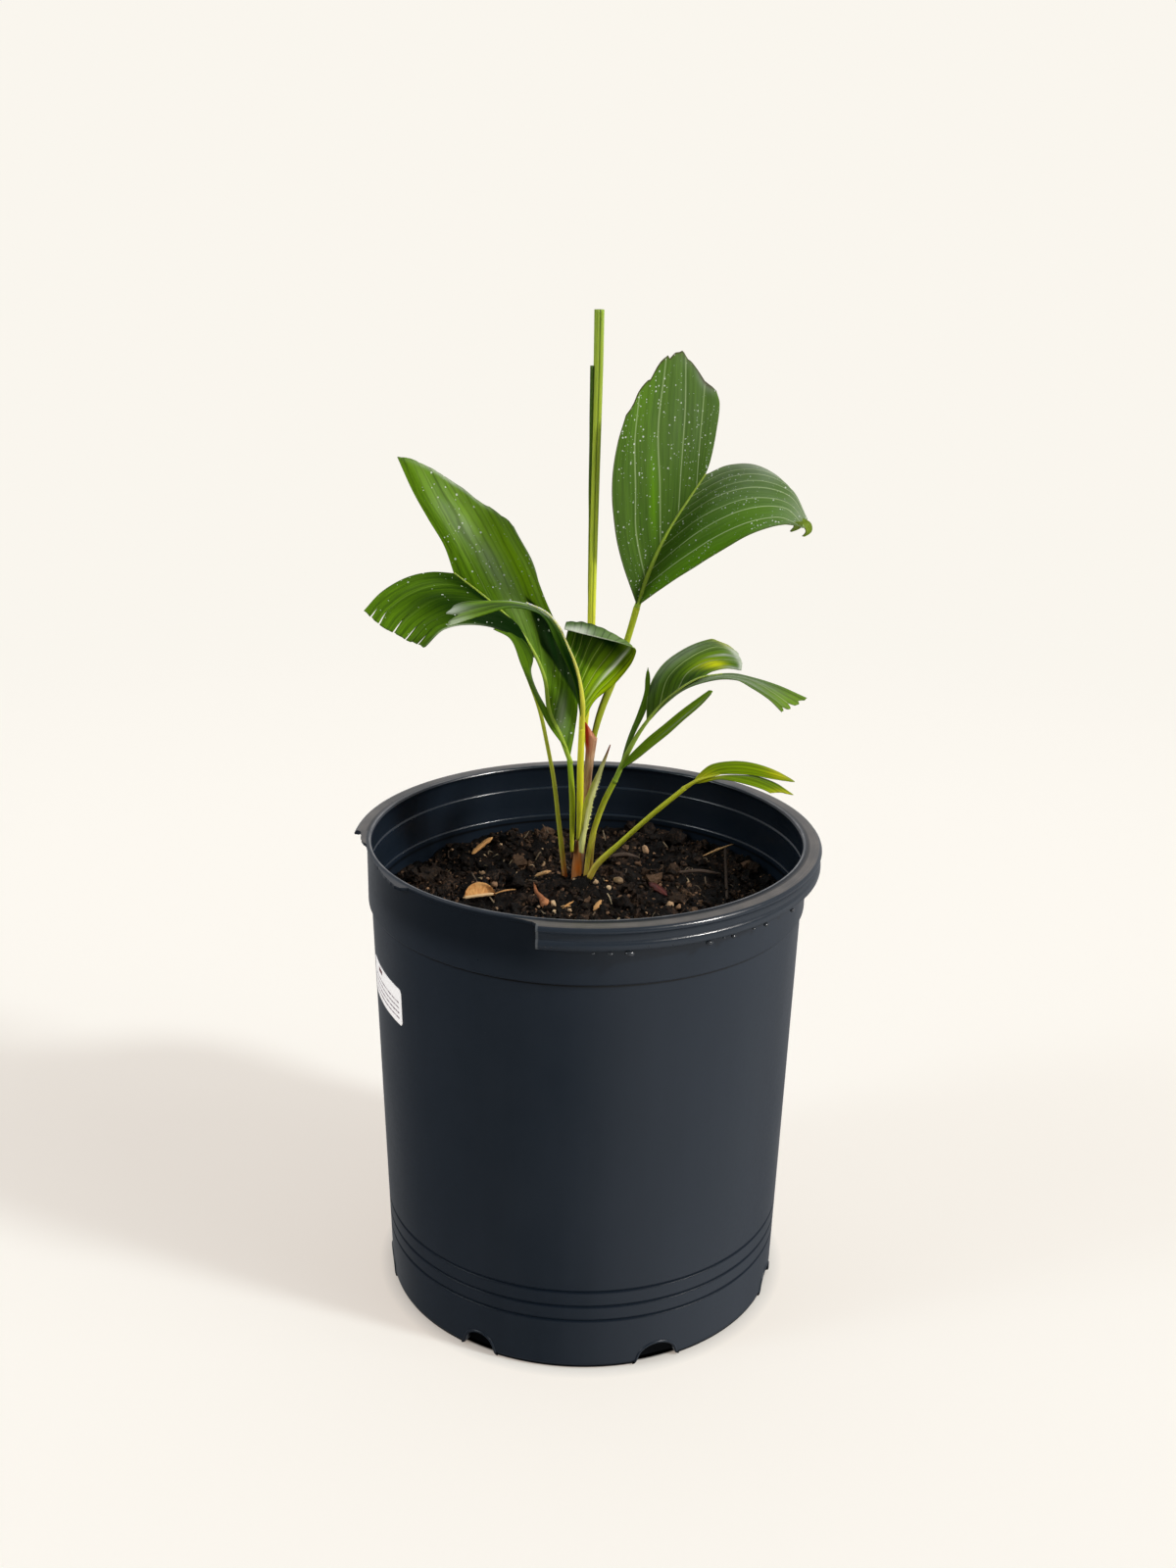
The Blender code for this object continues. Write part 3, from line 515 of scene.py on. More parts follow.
def stalk_paint(name, stops, rough=0.36, streaks=0.30, shade=(0.085, 0.105, 0.012)):
    """A stem whose colour follows its length, with long fine streaks. shade is the streaks' colour."""
    p = Paint(name, Metallic=0.0, IOR=1.45)
    p.shader.inputs["Specular IOR Level"].default_value = 0.18
    p.shader.inputs["Subsurface Weight"].default_value = 0.55
    p.shader.inputs["Subsurface Radius"].default_value = (1.0, 1.0, 0.2)
    p.shader.inputs["Subsurface Scale"].default_value = 0.003
    own = p.marks("shade")
    long_way = p.noise(p.uv((9.0, 2.2, 1.0)), 1.0, 3.0, 0.6)
    fine = p.noise(p.uv((34.0, 4.0, 1.0)), 1.0, 2.0)
    tone = p.ramp(own[0], *stops)
    tone = p.mix(p.math("MULTIPLY", p.span(long_way, 0.45, 0.7), streaks), tone, shade)
    tone = p.mix(own[1], tone, (0.018, 0.066, 0.006))
    tone = p.mix(own[2], tone, (0.028, 0.018, 0.003))
    p.colour(p.mix(p.math("MULTIPLY", p.span(fine, 0.55, 0.8), 0.2), tone, (0.42, 0.44, 0.20)))
    p.rough(p.span(long_way, 0.3, 0.7, rough, rough + 0.16))
    p.bump(p.math("ADD", fine, p.math("MULTIPLY", long_way, 1.5)), 0.00016, 0.8)
    return p.material


def dry_paint(name, pale, brown, rust):
    """Dry fibrous sheath: fine long fibres, stained. Each point's shade says how rusty and how dark."""
    p = Paint(name, Metallic=0.0, IOR=1.42)
    p.shader.inputs["Specular IOR Level"].default_value = 0.22
    own = p.marks("shade")
    fibre = p.noise(p.uv((40.0, 3.0, 1.0)), 1.0, 4.0, 0.7)
    stain = p.noise(p.uv((4.0, 3.0, 1.0)), 1.0, 3.0)
    tone = p.mix(p.span(p.math("ADD", p.math("MULTIPLY", fibre, 0.6), p.math("MULTIPLY", stain, 0.4)),
                        0.36, 0.66), brown, pale)
    tone = p.mix(own[0], tone, rust)
    p.colour(p.mix(own[1], tone, (0.030, 0.014, 0.008)))
    p.rough(p.span(fibre, 0.3, 0.7, 0.55, 0.85))
    p.bump(fibre, 0.00030, 1.0)
    return p.material


# Meshes

def smooth_path(points, count):
    """count points evenly along a smooth curve through the given points, both ends included."""
    points = np.array(points, float)
    steps = np.linalg.norm(np.diff(points, axis=0), axis=1)
    lengths = np.concatenate([[0.0], np.cumsum(steps)])
    low = np.maximum(np.arange(len(points)) - 1, 0)
    high = np.minimum(np.arange(len(points)) + 1, len(points) - 1)
    slopes = (points[high] - points[low]) / (lengths[high] - lengths[low])[:, None]
    at = np.linspace(0.0, lengths[-1], count)
    part = np.clip(np.searchsorted(lengths, at, side="right") - 1, 0, len(points) - 2)
    span = (lengths[part + 1] - lengths[part])[:, None]
    t = (at - lengths[part])[:, None] / span
    return ((2 * t**3 - 3 * t**2 + 1) * points[part] + (3 * t**2 - 2 * t**3) * points[part + 1]
            + (t**3 - 2 * t**2 + t) * span * slopes[part] + (t**3 - t**2) * span * slopes[part + 1])


class Build:
    """Points and faces gathered for one mesh, each point with surface coordinates and colours."""

    def __init__(self):
        self.points, self.faces, self.uvs, self.colours = [], [], [], {}
        self.count = 0

    def add(self, points, faces, uv=None, **colours):
        points = np.asarray(points, float)
        self.faces += [tuple(int(i) + self.count for i in face) for face in faces]
        self.points.append(points)
        self.uvs.append(np.zeros((len(points), 2)) if uv is None else np.asarray(uv, float))
        for key, value in colours.items():
            value = np.broadcast_to(np.asarray(value, float), (len(points), 3))
            self.colours.setdefault(key, []).append(value)
        self.count += len(points)

    def mesh(self, name, smooth=True, scale=MM):
        points = np.concatenate(self.points) * scale
        mesh = bpy.data.meshes.new(name)
        mesh.from_pydata(points.tolist(), [], self.faces)
        uvs = np.concatenate(self.uvs)
        order = np.empty(len(mesh.loops), np.int32)
        mesh.loops.foreach_get("vertex_index", order)
        layer = mesh.uv_layers.new(name="UVMap")
        layer.data.foreach_set("uv", uvs[order].astype(np.float32).ravel())
        for key, values in self.colours.items():
            values = np.concatenate(values)
            values = np.concatenate([np.clip(values, 0.0, 1.0), np.ones((len(values), 1))], axis=1)
            colour = mesh.attributes.new(key, "FLOAT_COLOR", "POINT")
            colour.data.foreach_set("color", values.astype(np.float32).ravel())
        if smooth:
            mesh.shade_smooth()
        return mesh


def put(name, mesh, materials, slot, *nodes):
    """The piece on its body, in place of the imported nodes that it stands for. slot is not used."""
    for material in materials:
        mesh.materials.append(material)
    piece = bpy.data.objects.new(name, mesh)
    bpy.context.scene.collection.objects.link(piece)
    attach(piece, "root")
    if nodes:
        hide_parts(*nodes)
    return piece


def ring_faces(rows, sides, closed=True):
    """Quads between rows of sides points each. Where closed, the last point meets the first."""
    reach = sides if closed else sides - 1
    return [(r * sides + i, r * sides + (i + 1) % sides,
             (r + 1) * sides + (i + 1) % sides, (r + 1) * sides + i)
            for r in range(rows - 1) for i in range(reach)]


def tube(points, radii, rows, sides=14, form=None, uv_long=0.02):
    """A stem's points, faces, surface coordinates and how far along each point is, from 0 to 1.

    form, where given, takes the angle round and the part along, and gives a share of the radius.
    """
    path = smooth_path(points, rows)
    widths = smooth_path([(r, i, 0.0) for i, r in enumerate(radii)], rows)[:, 0]
    ahead = np.gradient(path, axis=0)
    ahead /= np.linalg.norm(ahead, axis=1)[:, None]
    side = np.array([1.0, 0.0, 0.0]) - ahead * ahead[:, :1]
    side /= np.linalg.norm(side, axis=1)[:, None]
    deep = np.cross(ahead, side)
    along = np.linspace(0.0, 1.0, rows)
    around = np.arange(sides) * TURN / sides
    share = np.ones((rows, sides))
    if form:
        share = form(around[None, :], along[:, None]) * share
    reach = share * widths[:, None]
    grid = (path[:, None] + reach[..., None] * (np.cos(around)[None, :, None] * side[:, None]
                                                + np.sin(around)[None, :, None] * deep[:, None]))
    faces = ring_faces(rows, sides)
    faces.append(tuple(range(sides))[::-1])
    faces.append(tuple((rows - 1) * sides + i for i in range(sides)))
    length = np.linalg.norm(np.diff(path, axis=0), axis=1).sum()
    # The seam is folded, so that streaks meet where the round closes
    fold = np.abs(around / TURN * 2.0 - 1.0)
    uv = np.stack([np.broadcast_to(fold, (rows, sides)),
                   np.broadcast_to(along[:, None] * length * uv_long, (rows, sides))], axis=-1)
    return (grid.reshape(-1, 3), faces, uv.reshape(-1, 2),
            np.broadcast_to(along[:, None], (rows, sides)).reshape(-1))


def lump_form(level):
    form = bmesh.new()
    bmesh.ops.create_icosphere(form, subdivisions=level, radius=1.0)
    points = np.array([v.co for v in form.verts])
    faces = [tuple(v.index for v in f.verts) for f in form.faces]
    form.free()
    return points, faces


LUMPS = {level: lump_form(level) for level in (1, 2)}


def as_piece_mesh(obj):
    """The evaluated mesh of a helper object, which is then removed."""
    bpy.context.view_layer.update()
    graph = bpy.context.evaluated_depsgraph_get()
    mesh = bpy.data.meshes.new_from_object(obj.evaluated_get(graph))
    bpy.data.objects.remove(obj, do_unlink=True)
    return mesh


# The pot

POT_HEIGHT = 281.0
RIM_INNER_R = 123.8
FLANGE_R = 135.1
BAND_R = 126.5
BAND_BOTTOM = 243.9
WALL_BOTTOM_R = 117.5
WALL_TOP_R = 124.7
WALL_THICK = 1.8
BASE_R = 116.7
FLOOR_THICK = 2.2
FOOT_LINES = (52.2, 42.4, 33.0)
POT_SIDES = 360

# Where the flange is broken away, as angle in degrees and the radius that is left
BREAK = ((-180.9, 137.0), (-180.5, 133.4), (-179.9, 131.6), (-179.0, 130.6), (-176.0, 130.1),
         (-173.5, 129.3), (-171.6, 128.3), (-170.6, 127.0), (-167.0, 126.7), (-160.0, 126.8),
         (-154.5, 127.2), (-149.0, 128.6), (-144.5, 129.9), (-141.8, 130.9), (-139.8, 130.4),
         (-138.6, 127.2), (-136.0, 126.8), (-108.0, 126.8), (-104.5, 127.7), (-102.2, 129.4),
         (-101.2, 130.8), (-100.9, 137.0))
BREAK_LOW = 262.0
BREAK_HIGH = 286.0
# Left of the break only the flange's top is left. Its skirt is torn off up to these heights
SKIRT_TEAR = ((156.0, 262.0), (159.0, 266.0), (160.5, 270.5), (163.0, 274.0), (166.0, 276.2),
              (171.0, 277.0), (176.0, 277.4), (181.5, 277.9))

# Drain notches: middle angle in degrees and half the width of each
NOTCHES = ((-68.0, 11.6), (-119.6, 9.4), (-171.0, 11.6), (137.6, 9.4), (86.2, 11.6), (34.8, 9.4),
           (-16.6, 11.6))
NOTCH_HEIGHT = 12.2
NOTCH_DEPTH = 6.5


def wall_radius(height):
    return WALL_BOTTOM_R + (WALL_TOP_R - WALL_BOTTOM_R) * height / BAND_BOTTOM


def pot_profile():
    """(radius, height) from the middle of the floor, up the inside and down the outside."""
    inner = [(0.2, FLOOR_THICK), (60.0, FLOOR_THICK), (105.6, FLOOR_THICK), (105.9, 13.6),
             (wall_radius(14.0) - WALL_THICK, 14.0)]
    inner += [(wall_radius(z) - WALL_THICK, z) for z in (60.0, 120.0, 180.0, 220.0, 240.0, 246.4)]
    inner += [(122.75, 246.1), (122.85, 246.7), (123.1, 247.2), (123.5, 247.5), (123.9, 247.65),
              (124.0, 248.1), (124.05, 256.0), (124.05, 264.3), (124.1, 264.9), (124.35, 265.5),
              (124.75, 265.9), (125.1, 266.1), (125.15, 266.6), (125.0, 276.6), (124.5, 278.4), (123.85, 279.2), (123.75, 279.7)]
    rim = [(124.35, 280.75), (124.75, 281.0), (125.3, 281.0), (125.8, 280.75), (126.2, 280.5),
           (126.9, 280.4), (129.5, 280.35), (132.4, 280.3), (133.4, 280.2), (133.95, 279.95),
           (134.85, 278.75), (135.0, 278.3), (134.9, 277.6), (134.1, 276.8), (133.5, 275.8),
           (133.2, 274.4), (133.1, 273.0), (133.2, 272.5), (133.9, 271.9), (134.5, 271.0),
           (134.65, 270.2), (134.65, 268.7), (134.45, 267.9), (134.0, 267.35), (133.4, 267.15), (132.8, 267.25),
           (132.4, 267.6), (132.2, 268.2), (132.0, 272.0), (132.2, 277.2), (132.0, 278.0),
           (131.4, 278.35), (128.0, 278.5), (127.2, 278.4), (126.6, 277.9), (126.5, 277.0)]
    wall = [(126.5, 262.0), (126.5, 245.4), (126.42, 244.9), (126.15, 244.5), (125.7, 244.3),
            (124.55, 244.0), (124.4, 243.6), (124.48, 243.0), (124.62, 242.4), (124.66, 241.6)]
    wall += [(wall_radius(z), z) for z in (225.0, 190.0, 150.0, 110.0, 75.0)]
    for line in FOOT_LINES:
        wall += [(wall_radius(line + dz) - cut, line + dz)
                 for dz, cut in ((1.8, 0.0), (0.9, 0.04), (0.45, 0.45), (0.0, 0.62), (-0.45, 0.45),
                                 (-0.9, 0.04), (-1.8, 0.0))]
    wall += [(wall_radius(z), z) for z in (24.0, 16.0, 8.0, 4.2)]
    wall += [(wall_radius(3.4) + 0.02, 3.4), (wall_radius(3.0) - 0.25, 3.0),
             (wall_radius(2.4) - 0.30, 2.4), (wall_radius(1.2) - 0.55, 1.2), (BASE_R - 0.4, 0.5),
             (BASE_R - 0.9, 0.12), (BASE_R - 1.6, 0.0), (BASE_R - 8.0, 0.0), (60.0, 0.0), (0.2, 0.0)]
    return inner + rim + wall


def solid(name, points, faces):
    mesh = bpy.data.meshes.new(name)
    mesh.from_pydata((np.asarray(points) * MM).tolist(), [], faces)
    form = bmesh.new()
    form.from_mesh(mesh)
    bmesh.ops.recalc_face_normals(form, faces=form.faces)
    form.to_mesh(mesh)
    form.free()
    obj = bpy.data.objects.new(name, mesh)
    bpy.context.scene.collection.objects.link(obj)
    return obj


def break_cutter():
    """A ring sector over the lost part of the flange, with a slightly ragged inner side."""
    rng = random.Random(3)
    angles = sorted(set([a for a, _ in BREAK]) | set(np.arange(-179.5, -101.5, 0.8)))
    kept = np.interp(angles, [a for a, _ in BREAK], [r for _, r in BREAK])
    points = []
    for angle, left in zip(angles, kept):
        left = left + (rng.uniform(-0.22, 0.22) if 127.0 < left < 133.0 else 0.0)
        turn = math.radians(angle)
        low_left = max(left, BAND_R + 0.15)
        for r, z in ((low_left, BREAK_LOW), (FLANGE_R + 14.0, BREAK_LOW),
                     (FLANGE_R + 14.0, BREAK_HIGH), (low_left, BREAK_HIGH)):
            points.append((r * math.cos(turn), r * math.sin(turn), z))
    count = len(angles)
    faces = ring_faces(count, 4) + [(0, 1, 2, 3), tuple((count - 1) * 4 + i for i in range(4))]
    return solid("rim_break", points, faces)


def tear_cutter():
    """A ring sector over the skirt that is torn off beside the break."""
    points = []
    for angle in np.arange(SKIRT_TEAR[0][0], SKIRT_TEAR[-1][0], 0.8):
        high = np.interp(angle, [a for a, _ in SKIRT_TEAR], [z for _, z in SKIRT_TEAR])
        high += 0.3 * math.sin(angle * 2.3)
        turn = math.radians(angle)
        for r, z in ((BAND_R + 0.15, BREAK_LOW - 2.0), (FLANGE_R + 14.0, BREAK_LOW - 2.0),
                     (FLANGE_R + 14.0, high), (BAND_R + 0.15, high)):
            points.append((r * math.cos(turn), r * math.sin(turn), z))
    count = len(points) // 4
    faces = ring_faces(count, 4) + [(0, 1, 2, 3), tuple((count - 1) * 4 + i for i in range(4))]
    return solid("skirt_tear", points, faces)


def notch_outline(half):
    """(across, height) of one drain notch from its left foot over the arch to its right foot."""
    arch = [(half * math.cos(a), 1.4 + (NOTCH_HEIGHT - 1.4) * math.sin(a) ** 0.85)
            for a in np.linspace(math.pi, 0.0, 15)[1:-1]]
    flare = [(-half - 3.4, 0.0), (-half - 1.9, 0.55), (-half - 0.7, 1.7)]
    return flare + arch + [(-s, z) for s, z in flare[::-1]]


def notch_cutter(number, angle, half):
    outline = [(-half - 3.6, -3.0)] + notch_outline(half) + [(half + 3.6, -3.0)]
    turn = math.radians(angle)
    out, side = np.array([math.cos(turn), math.sin(turn)]), np.array([-math.sin(turn), math.cos(turn)])
    points = []
    for reach in (BASE_R - NOTCH_DEPTH, BASE_R + 6.0):
        for s, z in outline:
            x, y = out * reach + side * s
            points.append((x, y, z))
    count = len(outline)
    faces = ring_faces(2, count) + [tuple(range(count)), tuple(range(count, 2 * count))]
    return solid(f"notch_{number}", points, faces)


def notch_bead(build, angle, half):
    """The raised lip that runs over a notch, lying on the wall."""
    path = []
    for s, z in notch_outline(half)[1:-1]:
        scale = 1.0 + 0.9 / half
        s, z = s * scale, z * scale
        turn = math.radians(angle) + s / WALL_BOTTOM_R
        r = wall_radius(z) - 0.15
        path.append((r * math.cos(turn), r * math.sin(turn), max(z, 1.0)))
    points, faces, uv, _ = tube(path, [0.35] + [0.75] * (len(path) - 2) + [0.35], 36, 8)
    build.add(points, faces, uv)


def build_pot(material):
    profile = pot_profile()
    around = np.arange(POT_SIDES) * TURN / POT_SIDES
    points = [(r * math.cos(a), r * math.sin(a), z) for r, z in profile for a in around]
    faces = ring_faces(len(profile), POT_SIDES)
    faces += [tuple(range(POT_SIDES)), tuple((len(profile) - 1) * POT_SIDES + i for i in range(POT_SIDES))]
    pot = solid("pot_body", points, faces)
    cutters = [break_cutter(), tear_cutter()]
    cutters += [notch_cutter(i, *spec) for i, spec in enumerate(NOTCHES)]
    for cutter in cutters:
        cut = pot.modifiers.new(cutter.name, "BOOLEAN")
        cut.operation = "DIFFERENCE"
        cut.object = cutter
    mesh = as_piece_mesh(pot)
    for cutter in cutters:
        bpy.data.objects.remove(cutter, do_unlink=True)
    mesh.name = "nursery_pot"
    mesh.shade_smooth()
    mesh.set_sharp_from_angle(angle=math.radians(34.0))
    put("nursery_pot", mesh, [material], "pot_plastic", "pot")
    beads = Build()
    for angle, half in NOTCHES:
        notch_bead(beads, angle, half)
    put("notch_lips", beads.mesh("notch_lips"), [material], "pot_plastic")


LABEL_FROM, LABEL_TO = -166.6, -145.3
LABEL_LOW, LABEL_HIGH = (193.4, 190.3), (216.4, 212.9)
LABEL_OFF = 0.16


def build_label():
    """A blank white sticker that wraps the wall, with rounded corners and plain ruled bars."""
    p = Paint("label_paper", Metallic=0.0)
    spot = p.node("ShaderNodeSeparateXYZ", {0: p.node("ShaderNodeTexCoord").outputs["UV"]}).outputs
    row = p.math("FRACT", p.math("MULTIPLY", spot[1], 7.0))
    which = p.math("FLOOR", p.math("MULTIPLY", spot[1], 7.0))
    line = p.math("MULTIPLY", p.math("LESS_THAN", row, 0.36), p.math("LESS_THAN", which, 4.5))
    line = p.math("MULTIPLY", line, p.math("GREATER_THAN", which, 0.5))
    inside = p.math("MULTIPLY", p.math("GREATER_THAN", spot[0], 0.09), p.math("LESS_THAN", spot[0], 0.93))
    broken = p.noise(p.uv((26.0, 11.0, 1.0)), 1.0, 1.0)
    ink = p.math("MULTIPLY", p.math("MULTIPLY", line, inside), p.span(broken, 0.35, 0.6, 0.45, 0.95))
    tone = p.mix(ink, (0.98, 0.96, 0.96), (0.20, 0.15, 0.18))
    bar = p.math("MULTIPLY", p.math("GREATER_THAN", spot[1], 0.78), p.math("LESS_THAN", spot[1], 0.90))
    bar = p.math("MULTIPLY", bar, p.math("MULTIPLY", p.math("GREATER_THAN", spot[0], 0.24),
                                         p.math("LESS_THAN", spot[0], 0.40)))
    tone = p.mix(bar, tone, (0.10, 0.012, 0.022))
    p.colour(tone)
    # The paper glows a little, as painted light
    p.feed(p.shader.inputs["Emission Color"], tone)
    p.shader.inputs["Emission Strength"].default_value = 0.20
    p.rough(p.span(p.noise(p.place(), 300.0), 0.3, 0.7, 0.38, 0.5))
    columns, rows, corner = 40, 20, 2.2
    width = math.radians(LABEL_TO - LABEL_FROM) * wall_radius(203.0)
    tall = LABEL_HIGH[1] - LABEL_LOW[1]
    build = Build()
    across = np.linspace(0.0, 1.0, columns + 1)
    up = np.linspace(0.0, 1.0, rows + 1)
    u, v = np.meshgrid(across, up)
    # Rounded corners: near the ends the sheet is less tall
    near = np.clip(corner - np.minimum(u, 1.0 - u) * width, 0.0, corner)
    trim = (corner - np.sqrt(np.maximum(corner**2 - near**2, 0.0))) / tall
    v = trim + v * (1.0 - 2.0 * trim)
    angle = np.radians(LABEL_FROM + (LABEL_TO - LABEL_FROM) * u)
    low = LABEL_LOW[0] + (LABEL_LOW[1] - LABEL_LOW[0]) * u
    high = LABEL_HIGH[0] + (LABEL_HIGH[1] - LABEL_HIGH[0]) * u
    z = low + (high - low) * v
    r = wall_radius(z) + LABEL_OFF
    points = np.stack([r * np.cos(angle), r * np.sin(angle), z], axis=-1).reshape(-1, 3)
    build.add(points, ring_faces(rows + 1, columns + 1, closed=False),
              np.stack([u, v], axis=-1).reshape(-1, 2))
    sheet = put("blank_label", build.mesh("blank_label"), [p.material], None)
    thick = sheet.modifiers.new("Thick", "SOLIDIFY")
    thick.thickness = 0.00012
    thick.offset = 0.0


DROPS = (  # angle, height, distance from the axis and size of each
    (-80.3, 265.8, 133.5, 2.4), (-84.6, 266.1, 133.6, 1.45), (-88.4, 266.3, 133.6, 0.95),
    (-61.3, 266.0, 133.6, 1.95), (-54.7, 266.2, 133.7, 1.4), (-44.3, 266.2, 133.7, 1.5),
    (-33.4, 266.2, 133.7, 1.5), (-57.4, 266.7, 133.8, 0.85), (-48.6, 266.7, 133.8, 0.8),
    (-98.9, 269.2, 134.7, 0.50), (-97.4, 269.2, 134.7, 0.42), (-96.2, 269.3, 134.7, 0.42),
    (-76.0, 269.4, 134.7, 0.38), (-70.5, 268.6, 134.7, 0.35),
    (-12.0, 275.0, 133.4, 0.5), (-22.0, 272.0, 133.4, 0.45),
)


def build_drops():
    """Water beads that hang from the skirt, dark on the dark plastic but for their glints."""
    p = Paint("water", Roughness=0.13, IOR=1.6, Metallic=0.0)
    p.colour(p.mix(p.noise(p.place(), 300.0), (0.010, 0.014, 0.020), (0.050, 0.055, 0.062)))
    base, faces = LUMPS[2]
    build = Build()
    for angle, height, reach, size in DROPS:
        # A drop hangs: wide above, heavier and rounder below
        points = base.copy()
        points[:, 2] = np.where(points[:, 2] > 0, points[:, 2] * 0.8, points[:, 2] * 1.1)
        local = points * size * np.array([0.8, 1.15, 0.75])
        turn = math.radians(angle)
        out, side = (math.cos(turn), math.sin(turn)), (-math.sin(turn), math.cos(turn))
        x = (reach + local[:, 0]) * out[0] + local[:, 1] * side[0]
        y = (reach + local[:, 0]) * out[1] + local[:, 1] * side[1]
        build.add(np.stack([x, y, height + local[:, 2]], axis=-1), faces)
    put("water_drops", build.mesh("water_drops"), [p.material], None)


# The growing mix

SOIL_R = 122.2
SOIL_LEVEL = 236.5
HEAPS = (  # x, y, rise and spread of the larger heaps and hollows
    (-4, 16, 10.5, 24), (8, -4, 3.5, 34), (-6, -50, 1.5, 40), (-84, 36, 3.0, 26), (-48, 92, 4.0, 26),
    (44, 92, 7.5, 26), (78, 66, 4.0, 26), (60, 20, 1.5, 22), (-36, 44, -3.5, 17), (36, 50, -3.0, 13),
    (88, 8, -3.0, 24), (-62, -20, -1.5, 24), (66, -30, 1.5, 24), (14, 70, 2.0, 18), (-98, -6, 1.0, 20),
    (-12, 84, 1.5, 20), (30, -72, 2.0, 26), (-44, -72, 1.0, 22),
)


def soil_height(x, y):
    z = SOIL_LEVEL
    for hx, hy, rise, spread in HEAPS:
        z += rise * math.exp(-((x - hx) ** 2 + (y - hy) ** 2) / spread**2)
    clod = noise.noise(Vector((x * 0.055, y * 0.055, 3.1)))
    z += 4.2 * clod
    cell = noise.voronoi(Vector((x * 0.105, y * 0.105, 0.7)))[0]
    z += 4.6 * (min(cell[1] - cell[0], 0.8) - 0.35)
    z += 2.4 * noise.noise(Vector((x * 0.22, y * 0.22, 8.0)))
    z += 1.1 * noise.noise(Vector((x * 0.55, y * 0.55, 5.0)))
    z += 0.55 * noise.noise(Vector((x * 1.15, y * 1.15, 1.0)))
    return z


def add_lump(build, rng, place, size, level=1, flat=0.7, rough=0.30, shade=(0.0, 0.0, 0.0)):
    """A crumb or pebble: a roughened ball turned at random."""
    base, faces = LUMPS[level]
    seed = Vector((rng.uniform(-50, 50), rng.uniform(-50, 50), rng.uniform(-50, 50)))
    push = np.array([1.0 + rough * 2.0 * noise.noise(Vector(p) * 1.3 + seed) for p in base])
    shape = base * push[:, None] * np.array([rng.uniform(0.75, 1.25), rng.uniform(0.7, 1.1), flat])
    turn = np.array(Matrix.Rotation(rng.uniform(0, TURN), 3, Vector((rng.gauss(0, 1), rng.gauss(0, 1),
                                                                    rng.gauss(0, 1) + 0.01)).normalized()))
    points = shape @ turn.T * size + np.array(place)
    build.add(points, faces, base[:, :2] * 0.5, shade=shade)


def add_splinter(build, rng, start, end, width, thick, bend=0.0, taper=0.35, rows=12, shade=(0, 0, 0)):
    """A flat sliver of wood or bark from start to end, with uneven sides and pointed ends."""
    start, end = np.array(start, float), np.array(end, float)
    ahead = end - start
    length = np.linalg.norm(ahead)
    ahead /= length
    side = np.cross(ahead, (0.0, 0.0, 1.0))
    side /= np.linalg.norm(side)
    over = np.cross(side, ahead)
    points = []
    for k in range(rows):
        t = k / (rows - 1)
        middle = start + ahead * length * t + over * bend * math.sin(math.pi * t)
        ends = min(1.0, min(t, 1.0 - t) / taper) if taper else 1.0
        half = 0.5 * width * (0.25 + 0.75 * ends) * (1.0 + rng.uniform(-0.14, 0.14))
        lift = 0.5 * thick * (0.5 + 0.5 * ends)
        sway = rng.uniform(-0.08, 0.08) * width
        for s, h in ((-1.0, -0.6), (-0.9, 0.6), (0.0, 1.0), (0.9, 0.6), (1.0, -0.6), (0.0, -1.0)):
            points.append(middle + side * (s * half + sway) + over * h * lift)
    faces = ring_faces(rows, 6) + [tuple(range(6))[::-1], tuple((rows - 1) * 6 + i for i in range(6))]
    uv = [(s, k / (rows - 1) * length * 0.02) for k in range(rows) for s in (0.0, 0.2, 0.4, 0.6, 0.8, 1.0)]
    build.add(points, faces, uv, shade=shade)


def add_twig(build, rng, places, radii, shade=(0, 0, 0), rows=16, sides=7):
    """A thin root or twig through the given places, a little crooked."""
    places = [(x + rng.uniform(-0.3, 0.3), y + rng.uniform(-0.3, 0.3), z) for x, y, z in places]
    points, faces, uv, _ = tube(places, radii, rows, sides)
    build.add(points, faces, uv, shade=shade)


# x, y and reach of the places that larger lumps leave free, for the stems and the listed litter
KEPT_CLEAR = (
    (-3, 19, 12), (-18, 22, 9), (42, 15, 9), (-63, 3, 11), (-49, 11, 7), (-27, 5, 8), (-66, 74, 9),
    (81, 68, 9), (-26, 38, 6), (6, -24, 4), (68, 40, 8), (84, 50, 6), (84, 30, 6), (24, 70, 6),
    (-69, 31, 5), (-11, -14, 5), (13, -8, 4),
)


